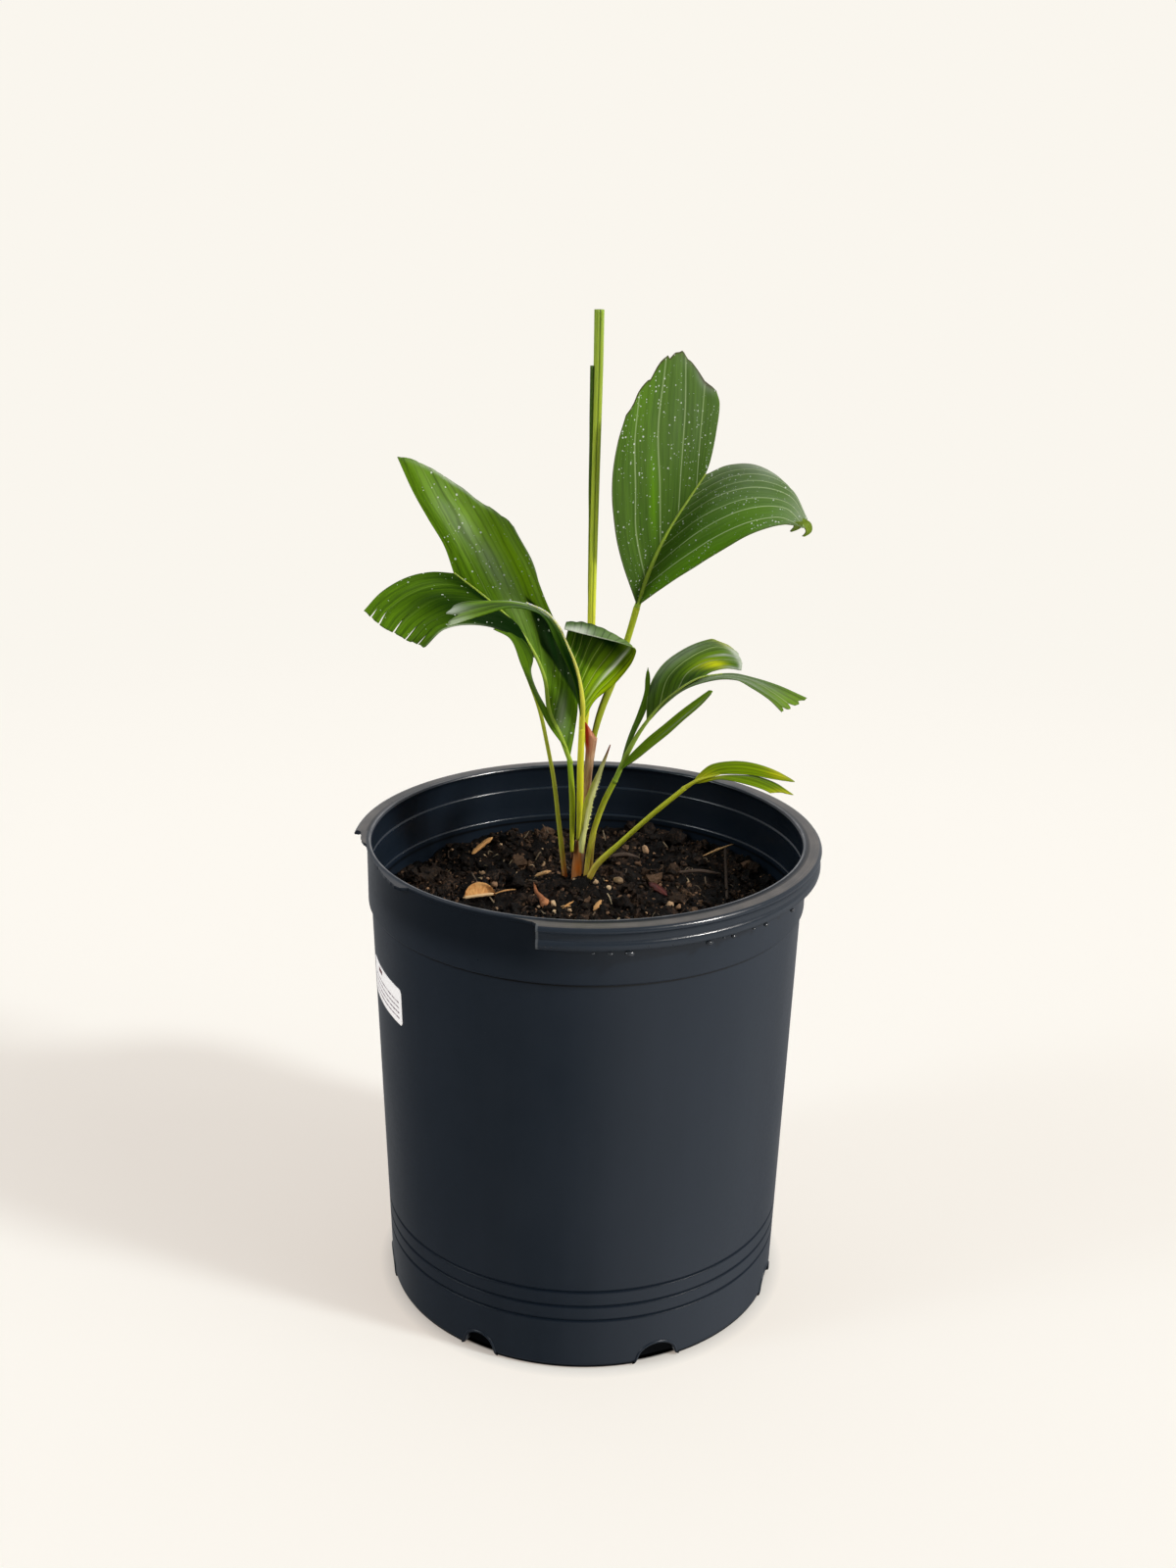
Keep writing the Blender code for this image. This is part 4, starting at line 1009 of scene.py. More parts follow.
def build_soil():
    dark = mix_of_soil("soil", (0.0030, 0.0018, 0.0012), (0.120, 0.070, 0.044))
    rng = random.Random(12)
    rings, sides = 74, 260
    build = Build()
    points, shade = [], []
    heights = {}
    for k in range(rings):
        r = SOIL_R * k / (rings - 1)
        count = sides
        for i in range(count):
            a = TURN * i / count
            x, y = r * math.cos(a), r * math.sin(a)
            z = soil_height(x, y)
            heights[k, i] = z
            points.append((x, y, z))
            damp = noise.noise(Vector((x * 0.06, y * 0.06, 20.0)))
            shade.append((0.0, min(max(0.82 + 1.0 * damp, 0.4), 0.98), 0.0))
    for r, z in ((SOIL_R - 0.4, 225.0), (wall_radius(40.0) - 2.6, 40.0), (wall_radius(16.0) - 2.6, 16.0),
                 (105.4, 13.9), (105.0, FLOOR_THICK + 0.3), (0.5, FLOOR_THICK + 0.3)):
        for i in range(sides):
            a = TURN * i / sides
            points.append((r * math.cos(a), r * math.sin(a), z))
            shade.append((0.0, 0.5, 0.0))
    rows = rings + 6
    faces = ring_faces(rows, sides)
    faces = [f[::-1] for f in faces]
    faces += [tuple((rows - 1) * sides + i for i in range(sides))[::-1]]
    build.add(points, faces, None, shade=np.array(shade))
    mesh = build.mesh("growing_mix")
    form = bmesh.new()
    form.from_mesh(mesh)
    bmesh.ops.remove_doubles(form, verts=form.verts, dist=0.00001)
    bmesh.ops.recalc_face_normals(form, faces=form.faces)
    form.to_mesh(mesh)
    form.free()
    put("growing_mix", mesh, [dark], "soil", "soil")

    for name, count, sizes in (("crumbs_fine", 4200, (0.45, 1.4)), ("crumbs_coarse", 1500, (1.3, 3.2)),
                               ("clods", 210, (3.0, 6.6))):
        build = Build()
        for _ in range(count):
            r = (SOIL_R - 1.0 - sizes[1] * 0.8) * math.sqrt(rng.random())
            a = rng.uniform(0, TURN)
            x, y = r * math.cos(a), r * math.sin(a)
            size = sizes[0] + (sizes[1] - sizes[0]) * rng.random() ** 2.2
            if size > 1.1 and any(math.hypot(x - px, y - py) < far + 0.7 * size for px, py, far in KEPT_CLEAR):
                continue
            # The palest crumbs are small ones
            pale = rng.random() ** 3.5 if size < 1.6 else 0.4 * rng.random() ** 5.0
            # Many crumbs are near black: dark peat, and partly painted shade between the lit crumbs
            tone = (pale, rng.uniform(0.0 if size < 1.2 else 0.3, 0.97) if pale < 0.3 else 0.0, 0.0)
            place = (x, y, soil_height(x, y) + size * rng.uniform(-0.25, 0.5))
            level = 2 if size > 2.2 else 1
            add_lump(build, rng, place, size, level, rng.uniform(0.55, 0.95), 0.46, tone)
        put(name, build.mesh(name, smooth=False), [dark], "soil")


def on_soil(x, y, lift=0.0):
    return (x, y, soil_height(x, y) + lift)


PEBBLES = (  # x, y, radius, pale share, dark share
    (-66, 58.5, 1.3, 0.35, 0.0), (-42.5, 51.2, 1.5, 0.45, 0.0), (-34.1, 55.8, 1.8, 0.6, 0.0),
    (-62.9, 39.1, 1.7, 0.3, 0.1), (-54.9, 24.4, 2.4, 0.05, 0.45), (-49.6, 97.9, 2.5, 0.1, 0.3),
    (-92.1, 14.4, 0.8, 1.0, 0.0), (-64, 72.1, 0.9, 0.8, 0.0), (-54.6, 88.1, 1.0, 0.5, 0.0),
    (-19.1, -9.3, 2.2, 0.6, 0.0), (-18.5, -18, 1.2, 0.8, 0.0), (-37.5, -19.3, 1.2, 0.7, 0.0),
    (-17.2, -24.6, 1.2, 0.8, 0.0), (-9.4, -18.3, 1.3, 0.5, 0.0), (5.3, 3.5, 2.1, 0.45, 0.1),
    (19.6, -2.4, 2.7, 0.0, 0.6), (18.9, 16.7, 2.7, 0.45, 0.1), (21.1, 26.7, 1.1, 0.9, 0.0),
    (13.1, 3.2, 1.5, 0.8, 0.0), (48.7, -0.7, 2.8, 0.3, 0.2), (53.9, -4.4, 2.2, 0.05, 0.4),
    (36.5, 74.9, 2.8, 0.2, 0.1), (14, 57.7, 1.3, 0.5, 0.2), (12.3, 47.6, 1.3, 1.0, 0.0),
    (2.0, 38.0, 1.4, 0.3, 0.3), (70, -52, 1.8, 0.4, 0.1), (-70, -48, 2.0, 0.3, 0.2),
)


def build_litter():
    bark = litter("bark_and_stone", (0.30, 0.140, 0.065), (0.62, 0.37, 0.20), (5.0, 5.0, 1.0))
    wood = litter("wood_chips", (0.62, 0.250, 0.060), (0.90, 0.50, 0.16), (22.0, 2.0, 1.0))
    orange = litter("orange_bark", (0.30, 0.09, 0.03), (0.70, 0.26, 0.09), (12.0, 2.0, 1.0))
    dark = litter("twigs_and_roots", (0.030, 0.018, 0.012), (0.105, 0.066, 0.042), (12.0, 1.5, 1.0))
    rng = random.Random(21)

    stones = Build()
    for x, y, size, pale, shady in PEBBLES:
        add_lump(stones, rng, on_soil(x, y, size * 0.65), size, 2, rng.uniform(0.65, 0.85), 0.22,
                 (pale, shady, 0.0))
    for _ in range(150):
        r, a = (SOIL_R - 4.0) * math.sqrt(rng.random()), rng.uniform(0, TURN)
        size = 0.5 + 1.1 * rng.random() ** 2
        add_lump(stones, rng, on_soil(r * math.cos(a), r * math.sin(a), size * 0.3), size, 1,
                 rng.uniform(0.5, 0.9), 0.25, (rng.random() ** 2 * 0.7, rng.uniform(0.0, 0.5), 0.0))
    put("bark_bits", stones.mesh("bark_bits"), [bark], "soil")

    # The curved orange-brown piece of bark by the front of the stems
    curl = Build()
    curved = [on_soil(x, y, lift) for x, y, lift in
              ((-31.3, 18.1, 3.0), (-29.8, 8.0, 3.6), (-26.6, -1.0, 3.2), (-24.2, -9.0, 2.2))]
    add_twig(curl, rng, curved, (0.5, 1.0, 1.4, 2.5), (0.0, 0.35, 0.0), 16, 9)
    add_lump(curl, rng, on_soil(-24.4, -9.6, 2.6), 2.6, 2, 0.7, 0.3, (0.1, 0.0, 0.0))
    put("curved_bark", curl.mesh("curved_bark"), [orange], "soil")

    chips = Build()
    add_splinter(chips, rng, on_soil(-71.5, 65.9, 3.0), (-59.8, 84.0, soil_height(-59.8, 84.0) + 9.5),
                 4.0, 1.3, 0.6, 0.16, 14, (0.10, 0.10, 0.0))
    add_splinter(chips, rng, on_soil(71.8, 62.0, 3.0), (91.2, 74.5, 246.5),
                 2.0, 1.2, 0.5, 0.5, 12, (0.45, 0.0, 0.0))
    add_splinter(chips, rng, on_soil(-31.0, 34.0, 1.6), on_soil(-22.0, 42.5, 2.6), 3.6, 1.6, 0.4, 0.3, 8,
                 (0.35, 0.0, 0.0))
    add_splinter(chips, rng, on_soil(4.2, -26.4, 1.6), on_soil(8.6, -22.0, 3.0), 3.0, 1.4, 0.3, 0.3, 8,
                 (0.2, 0.1, 0.0))
    for (x, y), (x2, y2) in (((-14.7, -14.6), (-9.0, -12.6)), ((-13.6, -17.6), (-7.3, -10.0)),
                             ((-93.6, 44.0), (-91.0, 36.5)), ((11.0, 8.0), (12.6, 13.0)),
                             ((60.0, -62.0), (67.0, -58.0)), ((-30.0, -80.0), (-22.0, -84.0)),
                             ((-10.0, 96.0), (-3.0, 104.0)), ((96.0, 30.0), (101.0, 24.0))):
        add_splinter(chips, rng, on_soil(x, y, 0.9), on_soil(x2, y2, 1.5), 1.5, 0.9, 0.3, 0.4, 8,
                     (rng.uniform(0.0, 0.4), 0.2, 0.0))
    # The half-round chip: a thin shell with a bright cut edge that runs on as a point
    rim, rows = [], 14
    centre = np.array(on_soil(-63.0, 3.5, 3.0))
    for k in range(rows):
        a = math.pi * k / (rows - 1)
        spread = np.array([-9.0 * math.cos(a) + 0.6, 4.5 * math.sin(a) * 1.15 + 0.9 * math.cos(a),
                           6.4 * math.sin(a)])
        rim.append(centre + spread + np.array([0.0, 0.0, 0.5]))
    base = [centre + np.array([-9.0 + 18.0 * k / (rows - 1), -2.0 + 4.2 * k / (rows - 1), 0.0])
            for k in range(rows)]
    shell = []
    for across in np.linspace(0.0, 1.0, 6):
        for k in range(rows):
            middle = base[k] * (1 - across) + rim[k] * across
            shell.append(middle + np.array([0.0, 1.8 * math.sin(math.pi * across), 0.4]))
    count = len(shell)
    below = [p - np.array([0.0, -0.5, 0.9]) for p in shell]
    faces = ring_faces(6, rows, closed=False)
    faces += [tuple(i + count for i in f[::-1]) for f in faces]
    edge = ([k for k in range(rows)] + [r * rows + rows - 1 for r in range(1, 6)]
            + [5 * rows + k for k in range(rows - 2, -1, -1)] + [r * rows for r in range(4, 0, -1)])
    faces += [(edge[(i + 1) % len(edge)], edge[i], edge[i] + count, edge[(i + 1) % len(edge)] + count)
              for i in range(len(edge))]
    uv = [(k / rows, 0.2 * (i // rows)) for i in range(count) for k in (i % rows,)]
    chips.add(shell + below, faces, uv + uv, shade=(0.05, 0.12, 0.0))
    add_splinter(chips, rng, centre + np.array([-9.4, -2.4, 0.2]), centre + np.array([9.0, 1.4, 1.6]),
                 2.3, 1.7, 0.2, 0.08, 12, (0.85, 0.0, 0.0))
    add_splinter(chips, rng, centre + np.array([8.6, 1.2, 1.5]), on_soil(-42.3, 17.8, 2.4), 1.7, 1.1, 0.8,
                 0.8, 12, (0.1, 0.35, 0.0))
    put("wood_chips", chips.mesh("wood_chips"), [wood], "soil")

    red = Build()
    add_splinter(red, rng, on_soil(37.3, 22.9, 3.0), on_soil(47.2, 7.2, 3.2), 5.6, 1.8, 0.9, 0.25, 14)
    put("red_bark", red.mesh("red_bark"),
        [litter("red_bark", (0.035, 0.004, 0.002), (0.130, 0.012, 0.006), (8.0, 2.0, 1.0), 0.5)], "soil")

    twigs = Build()
    for places, radii, shade in (
        ((on_soil(55.0, 38.4, 2.6), on_soil(68.0, 41.0, 3.4), on_soil(81.8, 42.0, 2.4)), (0.9, 1.2, 0.7),
         (0.0, 0.0, 0.0)),
        (((85.6, 66.0, soil_height(85.6, 66.0) + 5.5), on_soil(85.0, 38.0, 3.6), on_soil(83.3, 8.0, 2.4)),
         (0.8, 1.1, 0.9), (0.0, 0.3, 0.0)),
        ((on_soil(15.6, 68.9, 1.4), on_soil(24.0, 70.0, 2.4), on_soil(32.7, 69.6, 1.4)), (1.2, 1.6, 1.1),
         (0.0, 0.1, 0.0)),
        ((on_soil(-24.6, 103.9, 1.0), (-29.0, 108.0, soil_height(-29.0, 108.0) + 6.5)), (0.6, 0.35),
         (0.05, 0.0, 0.0)),
        ((on_soil(11.5, 99.9, 1.0), (9.8, 104.0, soil_height(9.8, 104.0) + 7.5)), (0.7, 0.35),
         (0.25, 0.0, 0.0)),
        ((on_soil(-69.9, 38.8, 0.9), on_soil(-68.6, 30.0, 1.2), on_soil(-65.2, 21.7, 0.7)),
         (0.45, 0.45, 0.3), (0.1, 0.0, 0.0)),
        ((on_soil(-45.0, 22.0, 0.8), on_soil(-36.0, 27.0, 2.0), on_soil(-30.0, 22.0, 1.6)),
         (0.4, 0.5, 0.6), (0.05, 0.0, 0.0)),
        ((on_soil(-40.0, 92.0, 1.0), (-37.0, 97.0, soil_height(-37.0, 97.0) + 4.5)), (0.4, 0.25),
         (0.15, 0.0, 0.0)),
    ):
        add_twig(twigs, rng, places, radii, shade)
    for _ in range(130):
        r, a = (SOIL_R - 7.0) * math.sqrt(rng.random()), rng.uniform(0, TURN)
        x, y = r * math.cos(a), r * math.sin(a)
        if math.hypot(x + 2.0, y - 20.0) < 11.0:
            continue
        way, length = rng.uniform(0, TURN), rng.uniform(3.0, 9.0)
        x2, y2 = x + length * math.cos(way), y + length * math.sin(way)
        if math.hypot(x2, y2) > SOIL_R - 3.0:
            continue
        thin = rng.uniform(0.18, 0.5)
        bend = rng.uniform(-1.5, 1.5)
        middle = on_soil((x + x2) / 2 + bend, (y + y2) / 2 - bend, 1.0 + rng.random())
        add_twig(twigs, rng, (on_soil(x, y, 0.3), middle, on_soil(x2, y2, 0.6)), (thin, thin, thin * 0.6),
                 (rng.random() ** 3 * 0.8, rng.uniform(0.0, 0.4), 0.0), 8, 5)
    fibre = (on_soil(11.9, -3.5, 1.0), on_soil(13.6, -7.6, 1.5), on_soil(15.1, -12.4, 0.9))
    add_twig(twigs, rng, fibre, (0.3, 0.35, 0.25), (1.0, 0.0, 0.0), 8, 5)
    put("twigs", twigs.mesh("twigs"), [dark], "soil")


# Stems and sheaths

FOOT = 246.3
STEMS = {
    "stalk_left": (((-8.9, 18.7, 262), (-9, 16.6, 293), (-10, 17.5, 310), (-11, 19, 319)),
                   (1.1, 1.8, 1.9, 1.7)),
    "stalk_front": (((-5.4, 18.3, 270), (-4.5, 12.5, 295), (-4.5, 10, 318), (-4, 8, 342)),
                    (1.2, 2.15, 2.15, 1.95)),
    "stalk_upper_right": (((1.6, 25.6, 320), (3.6, 26.4, 334), (7.4, 28, 348), (13, 29, 363),
                           (21, 31, 387), (26.5, 33, 407)), (1.3, 2.2, 2.4, 2.25, 2.1, 2.2)),
    "stalk_right": (((-0.5, 19.5, FOOT), (1.5, 19, 264), (4.5, 18.5, 278), (9.5, 17, 294), (16, 15, 309)),
                    (1.7, 1.8, 1.9, 1.9, 1.8)),
    "stalk_right_twin": (((2.2, 24.5, FOOT), (3.2, 24.5, 262), (4.8, 23.6, 273)), (1.4, 1.2, 0.8)),
    "stalk_low_right": (((1, 13, FOOT), (6, 11, 257), (19.5, 6, 273), (37.5, -2, 294), (55.5, -9, 313)),
                        (2.0, 1.6, 1.5, 1.5, 1.4)),
    "stalk_back": (((-13.5, 27, FOOT), (-17, 31, 275), (-20.5, 37, 301), (-24.5, 43, 320),
                    (-29.5, 50, 340), (-36.5, 58, 357), (-42.5, 66, 371)),
                   (1.7, 1.5, 1.4, 1.3, 1.3, 1.2, 1.2)),
}
SPEAR = ((-0.4, 24.6, 322), (-1.9, 24.3, 336), (-1.3, 24.2, 346), (-0.4, 24.2, 356), (0.5, 24.5, 372),
         (0.6, 25, 400), (1.3, 27, 471), (2.3, 29, 541), (2.4, 30, 572))
SPEAR_R = ((322, 1.2), (336, 1.5), (356, 1.8), (372, 2.3), (400, 2.6), (471, 2.9), (541, 3.05), (572, 3.15))
SHEATH = ((-5, 27, FOOT), (-3.5, 27, 270), (-0.5, 25.5, 302), (1.9, 24, 334))
SHEATH_R = (2.8, 2.6, 2.4, 3.1)
FOOT_SHEATH = ((-6, 21, FOOT), (-5.5, 21, 262), (-4.5, 21.5, 273))
WITHERED = ((-2.6, 17.4, 275), (0.6, 15, 295), (6.5, 14, 313), (12.5, 13, 331))

GREEN_STOPS = {
    "stalk_left": ((0.0, (0.66, 0.70, 0.05)), (0.5, (0.54, 0.64, 0.04)), (1.0, (0.26, 0.42, 0.02))),
    "stalk_front": ((0.0, (0.72, 0.74, 0.07)), (0.4, (0.88, 0.88, 0.04)), (1.0, (0.84, 0.82, 0.06))),
    # Low down, stalk_upper_right is painted darker, as painted shade from the fan above
    "stalk_upper_right": ((0.0, (0.38, 0.44, 0.03)), (0.4, (0.42, 0.50, 0.04)), (1.0, (0.56, 0.66, 0.04))),
    "stalk_right": ((0.0, (0.84, 0.42, 0.08)), (0.15, (0.82, 0.70, 0.12)), (0.6, (0.74, 0.76, 0.08)),
                    (1.0, (0.40, 0.54, 0.03))),
    "stalk_right_twin": ((0.0, (0.60, 0.22, 0.07)), (0.5, (0.66, 0.50, 0.12)), (1.0, (0.66, 0.62, 0.08))),
    "stalk_low_right": ((0.0, (0.92, 0.44, 0.08)), (0.12, (0.90, 0.70, 0.12)), (0.35, (0.80, 0.84, 0.07)),
                        (1.0, (0.74, 0.78, 0.04))),
    "stalk_back": ((0.0, (0.52, 0.15, 0.06)), (0.06, (0.60, 0.32, 0.08)), (0.16, (0.60, 0.60, 0.07)),
                   (1.0, (0.48, 0.58, 0.05))),
}


def petiole(around, along):
    """A leaf stalk's section: a little flat, with a shallow channel on its upper side."""
    return 1.0 - 0.10 * np.cos(2 * around) - 0.10 * np.exp(-((around - 4.71) / 0.55) ** 2) + 0 * along


def build_stems():
    for name, (points, radii) in STEMS.items():
        start = list(points)
        if points[0][2] == FOOT:
            # The foot goes on into the mix
            first, second = np.array(points[0], float), np.array(points[1], float)
            start = [tuple(first - (second - first) / np.linalg.norm(second - first) * 6.0)] + start
            radii = (radii[0],) + tuple(radii)
        rows = max(24, int(len(points) * 12))
        made, faces, uv, along = tube(start, radii, rows, 16, petiole)
        build = Build()
        brown = 0 * along
        if name == "stalk_upper_right":
            # Low down, a dark brown seam is painted along its left side, partly as painted shade from the fan
            # above
            around = np.tile(np.arange(16) * TURN / 16, rows)
            brown = np.exp(-((around - 3.4) / 0.75) ** 4) * np.clip(3.0 - along * 5.0, 0.0, 1.0)
        build.add(made, faces, uv, shade=np.stack([along, 0 * along, brown], axis=-1))
        put(f"{name}_skin", build.mesh(name),
            [stalk_paint(f"{name}_green", GREEN_STOPS[name])], "stalk_green", name)


def build_spear():
    """The unopened leaf: folds packed side by side in a rod, cut off flat, with one shorter fold."""
    paint = stalk_paint("spear_green", ((0.0, (0.92, 0.88, 0.09)), (0.28, (0.86, 0.88, 0.07)),
                                        (0.48, (0.56, 0.68, 0.06)), (1.0, (0.32, 0.45, 0.06))),
                        0.34, 0.30, (0.090, 0.190, 0.012))

    def folds(around, along):
        groove = np.maximum(0.0, np.cos(around * 5.0 + 0.8)) ** 3
        deep = 0.07 + 0.15 * np.clip(along * 1.6, 0.0, 1.0)
        return (1.0 - deep * groove) * (1.0 - 0.08 * np.cos(2.0 * around))

    build = Build()
    radii = np.interp(smooth_path(SPEAR, 40)[:, 2], [z for z, _ in SPEAR_R], [r for _, r in SPEAR_R])
    points, faces, uv, along = tube(SPEAR, radii * 0.95, 150, 50, folds)
    around = np.tile(np.arange(50) * TURN / 50, 150)
    dark = np.maximum(0.0, np.cos(around * 5.0 + 0.8)) ** 6 * np.clip(along * 1.8, 0.0, 0.65)
    build.add(points, faces, uv, shade=np.stack([along, dark, 0 * along], axis=-1))
    side = smooth_path(SPEAR, 128)[14:113:7]
    share = np.linspace(0.0, 1.0, len(side))[:, None]
    path = side + np.array([[-3.3, -0.9, 0.0]]) * (0.25 + 0.75 * share)
    points, faces, uv, along = tube(path, [0.4] * 5 + [0.8] * 4 + [1.05] * 3 + [1.2] * 3, 90, 14)
    dark = 0.9 * np.clip(along * 1.5, 0.0, 1.0)
    build.add(points, faces, uv, shade=np.stack([along * 0.85, dark, 0 * along], axis=-1))
    put("spear_folds", build.mesh("spear_folds"), [paint], "spear_green", "spear_leaf")


def build_sheaths():
    tan = dry_paint("dry_sheath", (0.96, 0.62, 0.38), (0.34, 0.14, 0.075), (0.52, 0.030, 0.006))
    rows, sides = 70, 28

    def fibrous(around, along):
        return 1.0 + 0.035 * np.sin(around * 9.0 + along * 6.0) + 0.03 * np.sin(around * 4.0)

    build = Build()
    start = [(-5.4, 27, FOOT - 5.0)] + list(SHEATH)
    points, faces, uv, along = tube(start, (2.7,) + SHEATH_R, rows, sides, fibrous)
    points = points.reshape(rows, sides, 3)
    around = np.arange(sides) * TURN / sides
    # The mouth is drawn up to a red point on the left, and dips on the right
    wedge = np.exp(-((around - 3.95) / 0.50) ** 2) + 0.25 * np.exp(-((around - 4.9) / 0.18) ** 2)
    lift = np.clip((along.reshape(rows, sides) - 0.80) / 0.20, 0.0, 1.0) ** 1.5
    points[..., 2] += lift * (8.0 * wedge - 3.0 * (1.0 - wedge))[None, :]
    points[..., 0] -= lift * 1.9 * wedge[None, :]
    points[..., 1] -= lift * 1.2 * wedge[None, :]
    rusty = np.minimum(lift * 2.4, 1.0) * np.minimum(wedge[None, :] * 1.6, 1.0)
    low = np.clip(1.0 - along.reshape(rows, sides) * 5.0, 0.0, 1.0) * 0.5
    build.add(points.reshape(-1, 3), faces, uv,
              shade=np.stack([rusty, low, 0 * low], axis=-1).reshape(-1, 3))
    put("stem_sheath_skin", build.mesh("stem_sheath_skin"), [tan], "dry_sheath", "stem_sheath")

    orange = dry_paint("orange_sheath", (0.98, 0.47, 0.17), (0.76, 0.24, 0.065), (0.98, 0.26, 0.030))
    build = Build()
    start = [(-6.3, 21, FOOT - 5.0)] + list(FOOT_SHEATH)
    points, faces, uv, along = tube(start, (3.0, 3.0, 2.5, 0.6), 50, 24, fibrous)
    around = np.tile(np.arange(24) * TURN / 24, 50)
    spot = np.exp(-((around - 4.9) / 0.7) ** 2 - ((along - 0.33) / 0.16) ** 2)
    brown = np.clip(along * 1.3 - 0.45, 0.0, 0.55) + 0.25 * np.exp(-((around - 3.6) / 0.5) ** 2)
    build.add(points, faces, uv, shade=np.stack([spot, brown, 0 * spot], axis=-1))
    put("foot_sheath_skin", build.mesh("foot_sheath_skin"), [orange], "dry_sheath", "foot_sheath")

    # The withered sheath: a thin folded blade whose right edge is torn to white teeth
    grey = dry_paint("withered_sheath", (0.98, 0.98, 0.48), (0.66, 0.70, 0.18), (0.30, 0.11, 0.06))
    rows, columns = 90, 13
    middle = smooth_path([(-3.4, 17.0, 262)] + list(WITHERED), rows)
    t = np.linspace(0.0, 1.0, rows)
    half = np.interp(t, (0.0, 0.12, 0.38, 0.62, 0.85, 1.0), (1.2, 1.9, 2.5, 1.7, 0.8, 0.15))
    rng = random.Random(8)
    points, shade, uv = [], [], []
    for k in range(rows):
        for c in range(columns):
            s = 2.0 * c / (columns - 1) - 1.0
            torn = rng.uniform(0.0, 0.42) if c == columns - 1 and 0.2 < t[k] < 0.72 and k % 3 else 0.0
            x = middle[k][0] + half[k] * s * (1.0 + torn)
            y = middle[k][1] - 1.1 + 1.5 * abs(s) ** 1.5 * half[k] / 2.0
            points.append((x, y, middle[k][2] - 0.35 * half[k] * s))
            pale = 0.0
            shade.append((min(1.0, max(0.0, (t[k] - 0.80) * 7.0)), 0.28 * max(0.0, -s) * (t[k] > 0.2), pale))
            uv.append((0.12 * s, t[k] * 1.6))
    build = Build()
    build.add(points, ring_faces(rows, columns, closed=False), uv, shade=np.array(shade))
    blade = put("withered_sheath_blade", build.mesh("withered_sheath_blade"), [grey], "dry_sheath",
                "withered_sheath")
    thick = blade.modifiers.new("Thick", "SOLIDIFY")
    thick.thickness = 0.00045
    thick.offset = 0.0
    hairs = Build()
    for k in range(rows):
        if 0.22 < t[k] < 0.70 and rng.random() < 0.8:
            edge = np.array(points[k * columns + columns - 1])
            tip = edge + np.array([rng.uniform(0.35, 1.1), -0.1, rng.uniform(-0.2, 0.5)])
            made, faces, uv, _ = tube([tuple(edge - np.array([0.3, 0, 0])), tuple(tip)],
                                      (0.16, 0.05), 4, 4)
            hairs.add(made, faces, uv, shade=(0.0, 0.0, 0.0))
    put("sheath_teeth", hairs.mesh("sheath_teeth"),
        [dry_paint("sheath_teeth", (0.72, 0.74, 0.62), (0.5, 0.52, 0.38), (0.5, 0.4, 0.3))], "dry_sheath")

    scraps = Build()
    for places, radii, tone in (
        (((-9.6, 22.5, 283), (-9.0, 21.4, 288), (-9.6, 21.0, 293)), (0.5, 0.8, 0.4), (0.6, 0.0, 0.0)),
        (((-9.4, 22.5, 256), (-8.9, 22.0, 266), (-9.6, 22.4, 276)), (0.5, 0.6, 0.3), (0.0, 0.55, 0.0)),
        (((0.6, 21.4, 247), (1.4, 21.6, 255), (0.8, 21.8, 262)), (0.7, 0.6, 0.3), (0.0, 0.3, 0.0)),
    ):
        made, faces, uv, _ = tube(places, radii, 14, 8)
        scraps.add(made, faces, uv, shade=tone)
    put("sheath_scraps", scraps.mesh("sheath_scraps"), [tan], "dry_sheath")
